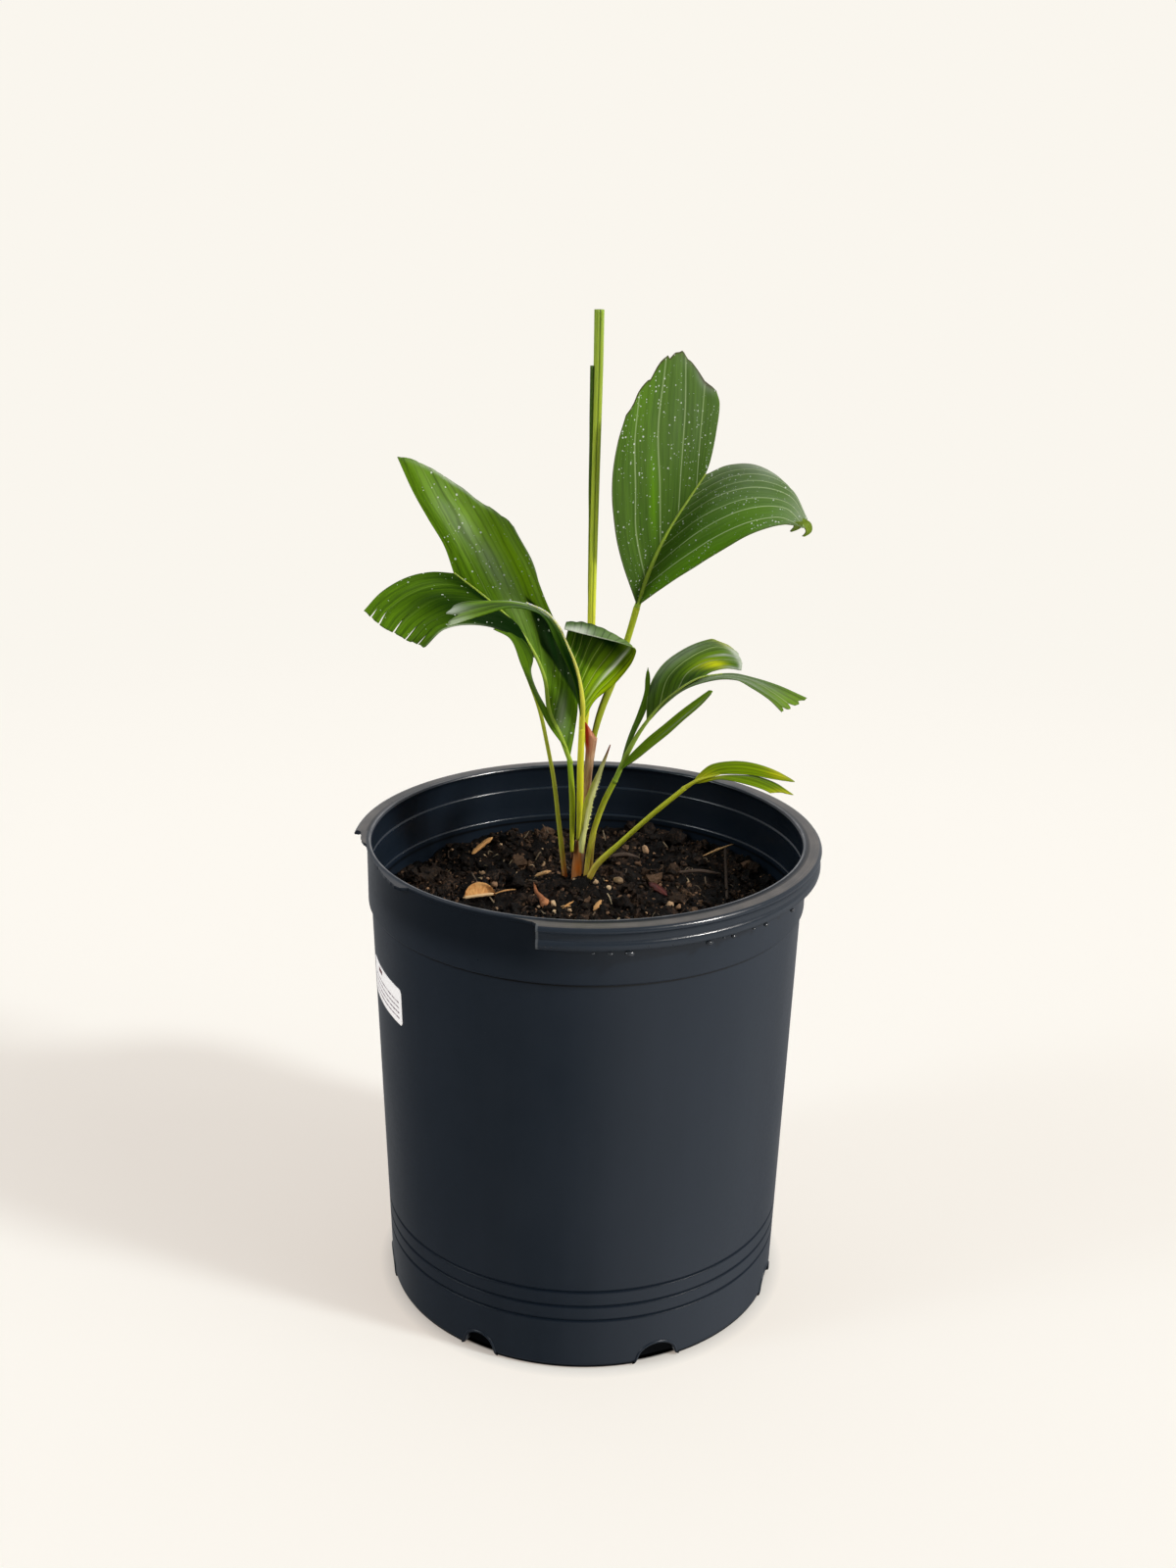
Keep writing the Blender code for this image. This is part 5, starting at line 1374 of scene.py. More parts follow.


# Leaves: rib, rib radius at both ends, and lobes. A lobe is a row of veins from the rib to its end.
# Patches are (u, v, reach in u, reach in v, amount), where u counts veins and v runs from 0 to 1
# along them. An end is (u, millimetres by which the blade is cut back there). Bright patches are partly
# painted light, painted_sheen patches a painted sheen, dark patches painted shade, shadow patches a
# painted shadow and glare a painted highlight.

LEAVES = {
    "leaf_upper_right": {
        "rib": ((26.7, 33.1, 407.6), (32.5, 36, 426), (41, 40, 445), (52, 44, 463), (64, 48, 481)),
        "rib_radius": (2.0, 0.45),
        "lobes": (
            {"pleat": 1.3, "jag": 0.8, "vein": 0.62, "specks": 0.95, "margin": (0.75, 1.0),
             "end": ((0, 0), (0.6, 1.5), (0.9, 0.2), (1.3, 0.0), (1.42, 1.6), (1.75, -1.8), (2.1, -2.0),
                     (2.2, 0.6), (2.45, -1.8), (2.65, -1.2), (2.8, -2.2), (2.95, -1.0), (3.1, 1.6),
                     (3.5, 0.6), (4.0, -0.6), (4.5, -0.8), (5.0, 0.0)),
             "brown": ((4.0, 1.0, 1.0, 0.030, 0.9),),
             "bright": ((1.72, 0.34, 0.17, 0.26, 0.85), (1.0, 0.95, 0.9, 0.16, 0.35)),
             "painted_sheen": ((4.0, 1.0, 0.9, 0.07, 0.75), (3.4, 0.65, 1.3, 0.35, 0.10)),
             "dark": ((0.3, 0.02, 3.0, 0.08, 0.30), (0.0, 0.45, 0.35, 0.35, 0.10), (3.9, 0.60, 1.2, 0.5, 0.13)),
             "veins": (
                ((26.4, 32, 408.6), (17, 20, 438), (12, 12, 464), (11, 9, 484), (14, 10, 504), (18, 12, 518)),
                ((31, 35, 422), (25, 24, 451), (24, 18, 477), (23, 16, 504), (25, 18, 531)),
                ((39, 39, 442), (38, 30, 475), (36, 26, 508), (39, 28, 546)),
                ((49, 43, 460), (50, 38, 490), (51, 36, 520), (50, 37, 548)),
                ((59, 46, 474), (60, 44, 497), (61, 44, 516), (62, 45, 533)),
                ((64, 48, 481), (66.6, 49, 488.7), (69.4, 50, 504), (70.8, 51, 519.9),
                 (68.5, 50, 527.5)))},
            {"pleat": 1.3, "jag": 0.5, "vein": 1.3, "specks": 1.0, "margin": (0.55, 0.3), "folds": 2,
             "end": ((0, 0), (1, 0), (4, 0)),
             "bright": ((0.1, 0.4, 0.4, 0.5, 0.75), (0.9, 0.65, 0.6, 0.3, 0.35), (1.6, 0.25, 1.8, 0.4, 0.30)),
             "painted_sheen": ((3.7, 0.60, 0.9, 0.50, 0.55), (2.2, 0.98, 2.2, 0.14, 0.65),
                       (2.4, 0.6, 1.0, 0.4, 0.26)),
             "glare": ((3.95, 0.55, 0.20, 0.35, 0.35), (3.2, 0.92, 0.5, 0.10, 0.35)),
             "yellow": ((1.4, 1.0, 0.7, 0.03, 0.8),),
             "veins": (
                ((27.4, 32, 408.6), (51, 12, 431), (80, -6, 454), (98, -6, 462), (110, 0, 463)),
                ((34, 36, 428), (59, 22, 452), (83, 12, 467), (105, 10, 469), (117, 8, 459)),
                ((45, 41, 452), (69, 34, 470), (90, 28, 477), (109, 24, 473), (120, 18, 458)),
                ((55, 45, 468), (77, 42, 480), (96, 38, 482), (111, 34, 475), (120, 28, 460)),
                ((64, 48, 481), (77, 50, 486), (92, 48, 486), (106, 44, 479), (117, 38, 464)))},
            # Two torn teeth that curl under the tip
            {"pleat": 0.2, "jag": 0.2, "vein": 0.0, "margin": (0.5, 0.3),
             "yellow": ((0.5, 0.4, 2.0, 2.0, 0.6),),
             "brown": ((0.5, 0.4, 2.0, 2.0, 0.35),),
             "veins": (
                ((111, 10, 461.5), (115.5, 9, 459.5), (117.2, 9.5, 457), (115.8, 11, 454.2)),
                ((117, 15, 463), (120.6, 14, 460), (120.8, 13.5, 456.5), (116.8, 12, 453.8)))},
            {"pleat": 0.2, "jag": 0.2, "vein": 0.0, "margin": (0.5, 0.3),
             "yellow": ((0.5, 0.4, 2.0, 2.0, 0.5),),
             "brown": ((0.5, 0.4, 2.0, 2.0, 0.35),),
             "veins": (
                ((109.5, 3, 463), (110.3, 5, 460.5), (109.8, 8, 458.6), (109.0, 10, 456.9)),
                ((115.5, 6, 463), (115.0, 7, 460.2), (112.8, 9, 458.2), (109.8, 11, 456.6)))},
        ),
    },
    "leaf_left": {
        "rib": ((-11.1, 19, 319.6), (-16.5, 21, 333), (-23, 24, 346), (-26, 28, 365), (-32.5, 31, 380),
                (-43, 34, 395), (-59, 38, 409), (-79, 44, 423)),
        "rib_radius": (1.6, 0.5),
        "rib_shift": (0.2, -1.5, 0.5),
        "lobes": (
            {"pleat": 1.3, "jag": 1.6, "vein": 0.35, "specks": 0.38, "margin": (0.25, 0.15),
             "speckled": ((0.45, 0.74, 0.30, 0.10, 1.0), (1.1, 0.52, 0.45, 0.10, 1.0),
                          (2.0, 0.42, 0.45, 0.14, 1.0), (3.4, 0.66, 0.25, 0.10, 0.8)),
             "end": ((0, 0), (0.2, -0.8), (0.6, -2.2), (0.9, -1.0), (1.3, 0.0), (5, 0)),
             "bright": ((3.5, 0.66, 1.6, 0.26, 0.85), (1.9, 0.50, 0.9, 0.3, 0.30)),
             "painted_sheen": ((1.9, 0.45, 0.55, 0.26, 0.50), (1.2, 0.66, 0.5, 0.20, 0.40), (4.4, 0.06, 0.4, 0.06, 0.30)),
             "dark": ((3.0, 0.14, 0.8, 0.06, 0.30), (0.2, 0.9, 0.3, 0.2, 0.15)),
             "shadow": ((4.60, 0.345, 1.6, 0.133, 1.0),),
             "glare": ((4.3, 0.09, 0.14, 0.06, 0.35), (2.2, 0.99, 1.2, 0.02, 0.6)),
             "veins": (
                ((-79, 44, 423), (-85, 46, 439), (-94, 48, 454), (-103, 50, 470), (-111, 52, 488)),
                ((-58, 38, 409), (-68, 44, 428), (-82, 50, 453), (-99, 56, 484)),
                ((-35, 32, 385), (-47, 42, 412), (-64, 52, 442), (-85, 60, 476)),
                ((-25, 26, 361), (-30, 38, 387), (-42, 52, 418), (-55, 60, 442), (-67, 66, 462)),
                ((-21, 24, 342), (-17, 34, 365), (-21, 46, 385), (-33, 58, 417), (-53, 70, 452)),
                ((-10.6, 20, 321), (-8.2, 25, 334), (-6.6, 30, 351), (-11, 44, 375), (-25, 58, 399),
                 (-34, 68, 425), (-46, 74, 445)))},
            {"pleat": 0.8, "jag": 1.2, "vein": 0.34, "specks": 0.3, "margin": (0.2, 0.1),
             "slits": ((0.45, 0.86, 0.04), (1.0, 0.83, 0.045), (1.85, 0.82, 0.05), (2.65, 0.81, 0.05),
                       (3.45, 0.86, 0.04)),
             "dark": ((1.4, 0.08, 2.6, 0.30, 0.97), (3.6, 0.40, 0.9, 0.36, 0.90), (2.2, 0.62, 1.2, 0.24, 0.62),
                      (1.9, 0.55, 2.4, 0.50, 0.14)),
             "glare": ((4.0, 0.75, 0.06, 0.22, 0.5),),
             "veins": (
                ((-78, 43, 423), (-92, 40, 424), (-107, 34, 421), (-119, 26, 415), (-128, 18, 406)),
                ((-59, 38, 410), (-79, 34, 418), (-99, 26, 416), (-114, 18, 407), (-119, 12, 400)),
                ((-43, 34, 395), (-60, 29, 409), (-85, 21, 413), (-102, 12, 404), (-109, 6, 396)),
                ((-35, 31, 384), (-44, 27, 399), (-65, 18, 408), (-89, 8, 403), (-100, 0, 393)),
                ((-32, 30, 377), (-43, 24, 391), (-62, 13, 400), (-81, 3, 400), (-92, -4, 391)))},
            {"pleat": 0.5, "jag": 0.6, "vein": 0.3, "margin": (0.15, 0.1),
             "bright": ((0.5, 0.5, 0.4, 0.5, 0.20),),
             "dark": ((0.8, 0.82, 0.6, 0.26, 0.70),),
             "veins": (
                ((-13, 18, 326), (-25, 17, 344), (-33, 18, 362), (-39, 19, 376), (-45, 21, 390),
                 (-55, 17, 397)),
                ((-12, 20, 326), (-23, 22, 346), (-30, 24, 359), (-33.5, 26, 370), (-32.5, 27, 378),
                 (-37, 27, 387), (-51, 24, 400)))},
        ),
    },
    "leaf_front": {
        "rib": ((-4, 7.9, 342.6), (-4, 2, 360), (-7.5, -6, 381), (-13.5, -13, 398), (-17.5, -17.5, 408),
                (-24, -17.5, 415.5), (-35, -16.5, 420.5)),
        "rib_radius": (1.95, 0.5),
        "rib_shift": (0.0, -0.8, 0.3),
        "lobes": (
            {"pleat": 1.0, "jag": 0.8, "vein": 0.35, "margin": (0.05, 0.05),
             "end": ((0, -1.5), (0.35, 0.0), (0.95, 9.0), (1.45, 0.0), (1.7, 4.5), (2, 8.0)),
             "bright": ((1.7, 0.60, 0.5, 0.25, 0.55), (0.3, 0.95, 0.8, 0.12, 0.6)),
             "painted_sheen": ((1.9, 0.35, 0.30, 0.15, 0.35), (1.3, 0.93, 0.5, 0.10, 0.45)),
             "dark": ((0.3, 0.30, 0.7, 0.3, 0.80), (1.0, 0.12, 0.8, 0.20, 0.85), (0.6, 0.62, 0.5, 0.2, 0.35)),
             "glare": ((1.5, 0.97, 0.4, 0.06, 0.8), (0.1, 0.97, 0.3, 0.05, 0.7), (2.0, 0.24, 0.14, 0.10, 1.0),
                       (2.0, 0.45, 0.05, 0.30, 0.8)),
             "veins": (
                ((-4.5, 4, 349), (-9, -8, 375), (-18, -26, 401), (-26, -40, 420), (-42, -44, 425),
                 (-58, -44, 420), (-75, -42, 414)),
                ((-4.5, 0, 366), (-12, -16, 395), (-22, -28, 415), (-36, -30, 422), (-54, -29, 422),
                 (-78, -26, 414)),
                ((-15, -15, 402), (-24, -17, 415), (-35, -16, 420), (-54, -13, 421), (-70, -11, 419),
                 (-79, -10, 415)))},
            {"pleat": 1.1, "jag": 0.12, "vein": 1.0, "margin": (0.15, 0.05), "folds": 2, "vein_to": 0.66,
             "calm": 0.30,
             "bright": ((0.8, 0.42, 1.1, 0.40, 0.95),),
             "yellow": ((0.10, 0.50, 0.45, 0.5, 0.75), (1.0, 0.15, 0.7, 0.14, 0.25)),
             "dark": ((3.2, 0.52, 1.3, 0.25, 0.85), (2.3, 0.66, 1.0, 0.10, 0.5),
                      (1.4, 0.60, 1.0, 0.16, 0.62), (0.45, 0.60, 0.12, 0.10, 0.4)),
             "painted_sheen": ((3.5, 0.93, 0.8, 0.15, 0.95), (1.6, 0.90, 0.8, 0.08, 0.35)),
             "glare": ((3.5, 0.96, 0.7, 0.10, 0.70), (1.0, 0.46, 0.07, 0.22, 1.3), (2.2, 1.0, 1.6, 0.009, 0.5)),
             "veins": (
                ((-2.5, 5, 349), (3.1, 10, 357.8), (13.4, 13, 366), (23, 13, 378), (26, 9, 387), (25, 3, 391)),
                ((-3.5, 2, 358), (6, 11, 369), (17, 14, 381), (23, 8, 391), (18, -3, 395)),
                ((-5.5, -2, 371), (0, 6, 382), (7, 9, 393), (10, 4, 400), (8, -9, 399)),
                ((-9, -8, 386), (-6, 0, 393), (-4, 2, 401), (-2, -2, 406), (-3, -14, 403)),
                ((-13.5, -13, 398), (-13, -9, 402), (-12, -8, 406), (-13, -10, 409), (-14, -19, 407)))},
        ),
    },
    "leaf_right": {
        "rib": ((16.2, 14.9, 309.5), (22, 14, 324), (29.5, 13, 339), (40, 12, 354), (50, 11, 364),
                (62, 10, 372), (75, 9, 375)),
        "rib_radius": (1.75, 0.35),
        "lobes": (
            {"pleat": 0.4, "jag": 0.3, "vein": 0.5, "margin": (0.2, 0.1),
             "end": ((0, 3.0), (0.5, 0.0), (1, 3.0)),
             "veins": (
                ((18, 14, 315), (21.5, 20, 329), (28, 24, 346), (32, 26, 359), (32.5, 27, 366),
                 (33.5, 28, 373)),
                ((20, 14, 319), (26, 18, 335), (33, 22, 350), (34.5, 24, 360), (35, 25, 367),
                 (34, 27, 373)))},
            {"pleat": 0.7, "jag": 0.3, "vein": 0.7, "margin": (0.2, 0.1),
             "end": ((0, 2.0), (0.6, 0.0), (1, 1.5)),
             "bright": ((0.5, 0.55, 0.8, 0.6, 1.0),),
             "glare": ((0.35, 0.7, 0.06, 0.2, 0.6),),
             "veins": (
                ((18.5, 13, 315), (30, 6, 326), (41, -2, 339), (53, -8, 352), (63, -12, 363),
                 (69, -14, 371)),
                ((20.5, 14, 320), (28, 10, 330), (39, 4, 343), (51, -2, 355), (60, -6, 364),
                 (68, -9, 371)))},
            {"pleat": 1.0, "jag": 1.1, "vein": 0.9, "margin": (0.15, 0.05),
             "bright": ((1.6, 0.60, 0.8, 0.3, 0.60), (0.8, 0.95, 0.7, 0.10, 0.7)),
             "yellow": ((2.45, 0.56, 0.46, 0.16, 1.0), (0.5, 0.97, 0.7, 0.06, 0.8)),
             "painted_sheen": ((0.3, 0.62, 0.60, 0.30, 0.75), (1.4, 0.95, 1.0, 0.12, 0.45)),
             "dark": ((1.2, 0.30, 0.7, 0.22, 0.55), (2.3, 0.14, 0.5, 0.14, 0.6)),
             "glare": ((2.4, 0.98, 1.0, 0.04, 0.9), (1.7, 0.80, 0.05, 0.15, 0.8), (2.9, 0.85, 0.1, 0.2, 0.7),
                       (1.2, 0.96, 0.5, 0.04, 0.8)),
             "veins": (
                ((33, 13, 344), (34, 26, 360), (42, 34, 373), (55, 38, 382), (70, 38, 388), (75, 36, 387)),
                ((40, 12, 354), (45, 24, 368), (56, 32, 377), (72, 33, 384.5), (83.5, 28, 384)),
                ((50, 11, 364), (56, 21, 372), (68, 25, 378), (79, 22, 380), (86.8, 18, 379.5)),
                ((63, 10, 372), (70, 14, 375), (78, 15, 377), (86, 12, 377)))},
            {"pleat": 0.9, "jag": 0.6, "vein": 0.7, "margin": (0.15, 0.05),
             "end": ((0, 0.0), (0.25, 0.0), (0.45, 4.0), (0.6, 0.2), (0.85, 0.0), (1.02, 4.4), (1.2, 0.3),
                     (1.45, 0.0), (1.62, 3.4), (1.75, 0.0), (2, 0.6)),
             "bright": ((1.0, 0.93, 1.5, 0.16, 0.6),),
             "painted_sheen": ((1.0, 0.45, 1.4, 0.34, 0.75),),
             "glare": ((1.4, 0.40, 0.20, 0.30, 0.55), (0.6, 0.55, 0.10, 0.30, 0.40)),
             "dark": ((0.3, 0.85, 0.2, 0.2, 0.35),),
             "veins": (
                ((34, 12, 345), (49, 8, 363), (67, 5, 372), (82, 3, 373), (91, 0, 369), (101, -3, 363),
                 (108, -5, 357)),
                ((40, 12, 354), (58, 10, 368), (75, 9, 373), (90, 7, 372), (104, 4, 365), (115, 1, 358)),
                ((50, 11, 364), (64, 13, 372), (75, 13, 374), (86, 12, 374), (107, 10, 368),
                 (124, 8, 361.5)))},
        ),
    },
    "leaf_low_right": {
        "rib": ((55.8, -9.1, 313.3), (61.5, -12, 318), (68, -14, 321), (74, -15, 323)),
        "rib_radius": (1.3, 0.4),
        "lobes": (
            {"pleat": 0.7, "jag": 0.3, "vein": 0.6, "margin": (0.1, 0.05),
             "end": ((0, 2.5), (0.55, 0.0), (1, 1.5)),
             "bright": ((0.5, 0.6, 1.0, 0.3, 0.3),),
             "yellow": ((0.5, 0.0, 1.0, 0.14, 0.8), (0.4, 0.85, 0.6, 0.14, 0.7)),
             "dark": ((0.3, 0.6, 0.10, 0.35, 0.45), (0.75, 0.65, 0.08, 0.3, 0.40)),
             "veins": (
                ((59, -10.5, 316), (63, -8, 321), (70, -6, 326), (81, -8, 329), (92, -11, 329),
                 (105, -15, 326), (116, -20, 321)),
                ((66, -13, 321), (74, -14, 323), (82, -16, 324), (92, -18, 324), (103, -21, 323),
                 (115, -24, 322)))},
            {"pleat": 0.7, "jag": 0.5, "vein": 0.6, "margin": (0.1, 0.05),
             "end": ((0, 0.0), (0.25, 0.5), (0.45, 2.0), (1, 3.0)),
             "yellow": ((0.5, 0.1, 1.0, 0.16, 0.7), (0.5, 0.97, 1.0, 0.08, 0.6)),
             "dark": ((0.5, 0.6, 0.15, 0.4, 0.30),),
             "veins": (
                ((66, -14, 320), (75, -14, 322), (86, -15, 323), (95, -17, 323), (105, -20, 320),
                 (115, -24, 315)),
                ((60, -11.5, 316), (67, -16, 319), (75, -20, 322), (85, -24, 322), (96, -28, 320),
                 (104, -31, 317)))},
        ),
    },
    "leaf_back": {
        "rib": ((-42.8, 66.4, 371.6), (-50, 74, 385), (-58, 82, 398)),
        "rib_radius": (1.1, 0.4),
        "lobes": (
            {"pleat": 0.9, "jag": 1.0, "vein": 0.4, "specks": 0.2,
             "bright": ((1.0, 0.5, 1.0, 0.5, 0.4),),
             "veins": (
                ((-45, 68, 375), (-57, 66, 391), (-74, 64, 402), (-88, 60, 404), (-98, 54, 398)),
                ((-51, 76, 388), (-66, 78, 402), (-82, 76, 408), (-99, 70, 405)),
                ((-58, 82, 398), (-70, 88, 407), (-84, 88, 411), (-98, 84, 409)))},
            {"pleat": 0.9, "jag": 1.0, "vein": 0.4, "specks": 0.2,
             "bright": ((1.0, 0.5, 1.0, 0.5, 0.4),),
             "veins": (
                ((-58, 82, 398), (-64, 92, 409), (-73, 100, 422), (-80, 106, 433)),
                ((-51, 76, 388), (-54, 88, 404), (-60, 98, 423), (-68, 106, 439)),
                ((-45, 69, 376), (-42, 80, 394), (-45, 92, 412), (-51, 102, 428)))},
        ),
    },
}

# Colours of each leaf: dark, mid, bright, yellow and vein, then roughness, and its stripes as
# how many lie between two veins and how strong they are
LEAF_COLOURS = {
    "leaf_upper_right": ((0.066, 0.136, 0.022), (0.098, 0.192, 0.028), (0.135, 0.330, 0.006),
                         (0.34, 0.52, 0.02), (0.56, 0.68, 0.36), 0.38, (4.0, 0.20)),
    "leaf_left": ((0.070, 0.165, 0.004), (0.135, 0.290, 0.006), (0.290, 0.560, 0.008),
                  (0.38, 0.52, 0.03), (0.30, 0.48, 0.08), 0.36, (2.6, 0.55)),
    "leaf_front": ((0.024, 0.085, 0.003), (0.090, 0.215, 0.004), (0.330, 0.580, 0.002),
                   (0.48, 0.66, 0.004), (0.56, 0.70, 0.16), 0.36, (1.4, 0.90)),
    "leaf_right": ((0.045, 0.115, 0.005), (0.105, 0.225, 0.008), (0.225, 0.400, 0.008),
                   (0.76, 0.80, 0.01), (0.56, 0.68, 0.30), 0.36, (2.6, 0.6)),
    "leaf_low_right": ((0.120, 0.210, 0.002), (0.220, 0.360, 0.002), (0.300, 0.450, 0.003),
                       (0.70, 0.66, 0.01), (0.40, 0.56, 0.03), 0.40, (4.0, 0.7)),
    "leaf_back": ((0.052, 0.130, 0.008), (0.115, 0.250, 0.010), (0.200, 0.390, 0.010),
                  (0.30, 0.48, 0.03), (0.24, 0.42, 0.08), 0.36, (3.0, 0.6)),
}
# The fewer, the larger a leaf's pale specks
SPECK_SCALE = {"leaf_left": 500.0}
BLADE_THICK = 0.00050
GAP_STEPS = (0.0, 0.035, 0.10, 0.20, 0.32, 0.43, 0.50, 0.57, 0.68, 0.80, 0.90, 0.965)


def across_veins(lines, gap, share):
    """The point a share of the way from vein gap to the next, in every row, on a smooth curve."""
    count = len(lines)
    a, b = lines[gap], lines[gap + 1]
    span = np.linalg.norm(b - a, axis=1)[:, None] + 1e-9
    before = lines[max(gap - 1, 0)]
    after = lines[min(gap + 2, count - 1)]
    back = np.linalg.norm(a - before, axis=1)[:, None] if gap > 0 else 0.0
    fore = np.linalg.norm(after - b, axis=1)[:, None] if gap + 2 < count else 0.0
    start = (b - before) / (span + back)
    end = (after - a) / (span + fore)
    t = share[:, None]
    return ((2 * t**3 - 3 * t**2 + 1) * a + (3 * t**2 - 2 * t**3) * b
            + (t**3 - 2 * t**2 + t) * span * start + (t**3 - t**2) * span * end)


def smooth_step(x):
    x = np.clip(x, 0.0, 1.0)
    return x * x * (3.0 - 2.0 * x)


def patches(lobe, kind, us, vs, crisp=1.0):
    """How much each point has of one kind of patch, such as bloom. A high crisp gives a sharp edge."""
    amount = np.zeros(us.shape)
    for u0, v0, du, dv, most in lobe.get(kind, ()):
        off = np.abs((us - u0) / du) ** (2.0 * crisp) + np.abs((vs - v0) / dv) ** (2.0 * crisp)
        amount += most * np.exp(-off)
    return amount


def build_lobe(build, lobe, rng, seed):
    veins, gaps = lobe["veins"], len(lobe["veins"]) - 1
    length = max(np.linalg.norm(np.diff(np.array(v, float), axis=0), axis=1).sum() for v in veins)
    rows = int(min(max(length / 1.3, 30), 76))
    fine = 160
    lines = [smooth_path(vein, fine) for vein in veins]

    # Columns: vein coordinate, and for the sides of a slit, how it opens and from where
    columns = [(g + f, 0.0, 1.0) for g in range(gaps) for f in GAP_STEPS] + [(float(gaps), 0.0, 1.0)]
    for middle, start, wide in lobe.get("slits", ()):
        columns = [c for c in columns if abs(c[0] - middle) > 0.03 + wide * 0.6]
        columns += [(middle, -wide, start), (middle, wide, start)]
    columns.sort(key=lambda c: (c[0], c[1]))
    count = len(columns)

    # The end of the blade: cut back as listed, with ragged notches
    cuts = lobe.get("end", ((0, 0), (gaps, 0)))
    trims = np.interp([c[0] for c in columns], [u for u, _ in cuts], [cut for _, cut in cuts])
    ragged = np.array([lobe["jag"] * rng.random() * (rng.random() < 0.55) for _ in columns])
    ragged[1:-1] = 0.25 * ragged[:-2] + 0.5 * ragged[1:-1] + 0.25 * ragged[2:]
    trims = trims + ragged

    s = np.linspace(0.0, 1.0, rows)
    grid = np.zeros((rows, count, 3))
    vs = np.zeros((rows, count))
    us = np.zeros((rows, count))
    reach = max(0.18, trims.max() / length * 1.6)
    for c, (u, open_by, start) in enumerate(columns):
        v = s * (1.0 - trims[c] / length * smooth_step((s - 1.0 + reach) / reach))
        us[:, c] = u + open_by * smooth_step((s - start) / (1.0 - start + 1e-6)) if open_by else u
        vs[:, c] = v
        gap = min(int(u), gaps - 1)
        at = v * (fine - 1)
        low = np.clip(at.astype(int), 0, fine - 2)
        part = (at - low)[:, None]
        picked = [line[low] * (1 - part) + line[low + 1] * part for line in lines]
        grid[:, c] = across_veins(picked, gap, us[:, c] - gap)

    normal = np.cross(np.gradient(grid, axis=0), np.gradient(grid, axis=1))
    normal = normal / np.maximum(np.linalg.norm(normal, axis=2), 1e-9)[..., None]
    # Folds and drawn veins: as many to a gap between listed veins as the lobe says
    folds = us * lobe.get("folds", 1)
    fraction = folds - np.floor(folds + 1e-9)
    fraction = np.where(us >= gaps - 1e-6, 0.0, fraction)
    ridge = 0.55 * 0.5 * np.cos(fraction * TURN) + 0.45 * (np.abs(fraction * 2.0 - 1.0) - 0.5)
    fade = np.sin(math.pi * np.clip(vs * 0.85, 0.0, 1.0)) ** 0.8
    # From its calm share on, a lobe's folds die out towards its end
    calm = lobe.get("calm", 1.0)
    fade = fade * (1.0 - smooth_step((vs - calm) / (1.0 - calm + 1e-6)) * (calm < 1.0))
    wave = np.array([noise.noise(Vector(p) * 0.045 + Vector((seed * 7.3, 0, 0)))
                     for p in grid.reshape(-1, 3)]).reshape(rows, count)
    hem = np.exp(-(np.minimum(us, gaps - us) / 0.25) ** 2)
    height = lobe["pleat"] * fade * ridge + 0.9 * wave * smooth_step(vs * 3.0) * (0.4 + 0.6 * hem)
    grid = grid + normal * height[..., None]
    # Until it opens, a slit's two sides are one
    for c in range(count - 1):
        if columns[c][1] < 0 < columns[c + 1][1]:
            whole = s <= columns[c][2]
            middle = (grid[whole, c] + grid[whole, c + 1]) / 2.0
            grid[whole, c] = grid[whole, c + 1] = middle

    near_vein = np.minimum(fraction, 1.0 - fraction)
    drawn_to = lobe.get("vein_to", 2.0)
    # Bright patches are partly painted light, and painted_sheen patches a painted sheen
    tint = np.stack([patches(lobe, kind, us, vs) for kind in ("bright", "yellow", "painted_sheen")], axis=-1)
    side_margin, end_margin = lobe.get("margin", (0.3, 0.3))
    marks = np.zeros((rows, count, 3))
    marks[..., 0] = lobe["vein"] * (near_vein < 0.12) * (1.0 - 0.25 * vs) * (vs < drawn_to)
    marks[:, 0] = marks[:, -1] = 0.0
    marks[:, 0, 1] = marks[:, -1, 1] = side_margin
    marks[-1, :, 1] = end_margin
    marks[..., 1] += patches(lobe, "brown", us, vs)
    # Painted shade: dark patches, and a crisp painted shadow
    marks[..., 2] = patches(lobe, "dark", us, vs) + patches(lobe, "shadow", us, vs, 16.0)
    specks = lobe.get("specks", 0.0) + patches(lobe, "speckled", us, vs)
    spots = np.stack([specks, patches(lobe, "glare", us, vs), np.zeros(us.shape)], axis=-1)
    uv = np.stack([folds + seed, vs * length / 60.0], axis=-1)

    faces = []
    for r in range(rows - 1):
        for c in range(count - 1):
            slit = columns[c][1] < 0 < columns[c + 1][1]
            if not slit:
                i = r * count + c
                faces.append((i, i + 1, i + count + 1, i + count))
    # The side that faces up and to the front near the rib is the upper side
    if (normal[:rows // 2].reshape(-1, 3).mean(axis=0) * np.array([0.0, -0.5, 1.0])).sum() > 0:
        faces = [f[::-1] for f in faces]
    build.add(grid.reshape(-1, 3), faces, uv.reshape(-1, 2), tint=tint.reshape(-1, 3),
              marks=marks.reshape(-1, 3), spots=spots.reshape(-1, 3))


RIB_STOPS = {
    "leaf_front": ((0.0, (0.84, 0.82, 0.06)), (0.35, (0.90, 0.86, 0.14)), (0.7, (0.62, 0.62, 0.26)),
                   (1.0, (0.84, 0.84, 0.72))),
    "leaf_low_right": ((0.0, (0.78, 0.76, 0.05)), (1.0, (0.50, 0.58, 0.04))),
    "leaf_right": ((0.0, (0.30, 0.46, 0.05)), (1.0, (0.40, 0.52, 0.12))),
}


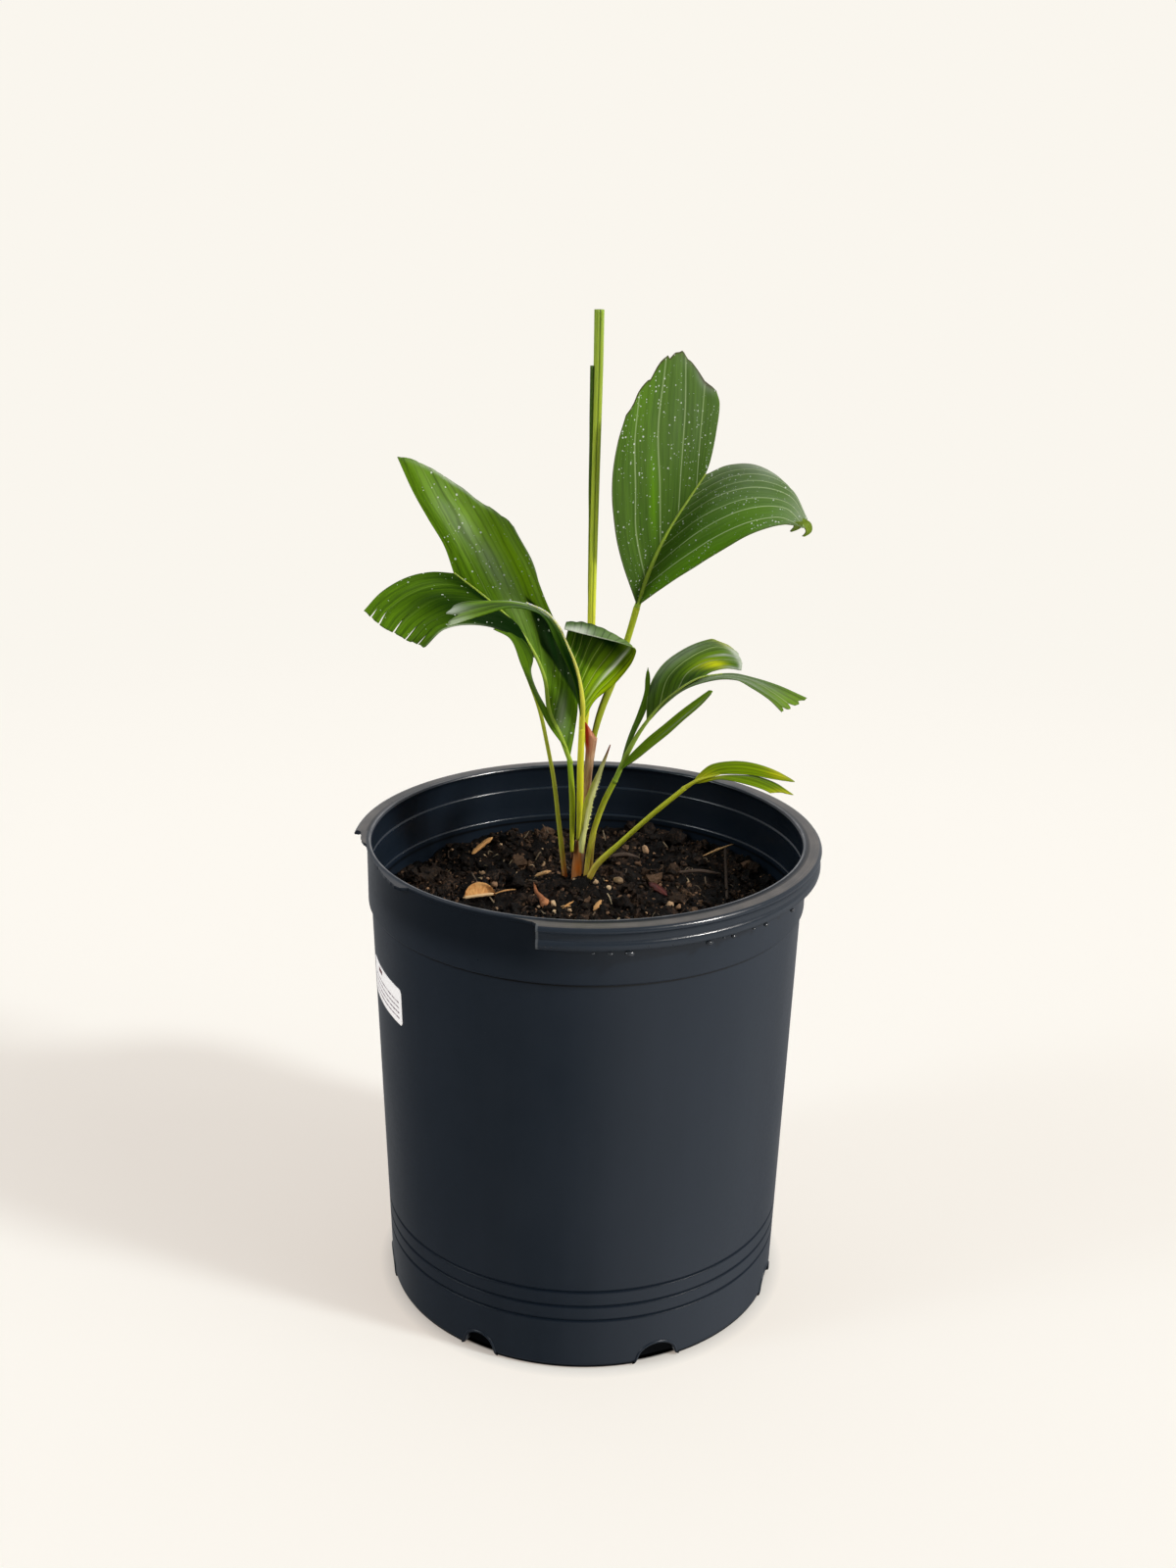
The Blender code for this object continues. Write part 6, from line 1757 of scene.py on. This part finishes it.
def build_leaves():
    for number, (name, leaf) in enumerate(LEAVES.items()):
        rng = random.Random(40 + number)
        dark, mid, bright, yellow, vein, rough, stripes = LEAF_COLOURS[name]
        front = leaf_paint(f"{name}_upper", dark, mid, bright, yellow, vein, 0.75, rough, number * 3.7,
                           stripes, SPECK_SCALE.get(name, 620.0))
        pale = [tuple(0.72 * c + 0.28 * g for c, g in zip(tone, (0.16, 0.26, 0.10)))
                for tone in (dark, mid, bright)]
        back = leaf_paint(f"{name}_under", *pale, yellow, vein, 0.55, 0.5, number * 3.7 + 1.0, stripes)
        build = Build()
        for k, lobe in enumerate(leaf["lobes"]):
            build_lobe(build, lobe, rng, float(k * 11))
        mesh = build.mesh(f"{name}_blade")
        form = bmesh.new()
        form.from_mesh(mesh)
        bmesh.ops.remove_doubles(form, verts=form.verts, dist=0.000002)
        form.to_mesh(mesh)
        form.free()
        blade = put(f"{name}_blade", mesh, [front, back], "leaf_green", name)
        thick = blade.modifiers.new("Thick", "SOLIDIFY")
        thick.thickness = BLADE_THICK
        thick.offset = 0.0
        thick.material_offset = 1
        # The rib starts inside its stalk, and stands proud of the blade where it shows
        path = np.array(leaf["rib"], float)
        back_step = (path[0] - path[1]) / np.linalg.norm(path[0] - path[1]) * 3.0
        share = np.linspace(0.0, 1.0, len(path))[:, None]
        path = path + np.array(leaf.get("rib_shift", (0.0, -0.5, 0.3))) * smooth_step(share * 4.0)
        path = np.concatenate([[path[0] + back_step], path])
        first, last = leaf["rib_radius"]
        middle = first * 0.5 + last * 0.5
        points, faces, uv, along = tube(path, (first, first * 0.9, middle, (middle + last) / 2, last), 70,
                                        12, petiole)
        rib = Build()
        rib.add(points, faces, uv, shade=np.stack([along, 0 * along, 0 * along], axis=-1))
        stops = RIB_STOPS.get(name, ((0.0, (0.38, 0.54, 0.06)), (1.0, (0.44, 0.60, 0.10))))
        put(f"{name}_rib", rib.mesh(f"{name}_rib"), [stalk_paint(f"{name}_rib", stops)], "stalk_green", name)


build_pot(plastic())
build_label()
build_drops()
build_soil()
build_litter()
build_stems()
build_spear()
build_sheaths()
build_leaves()
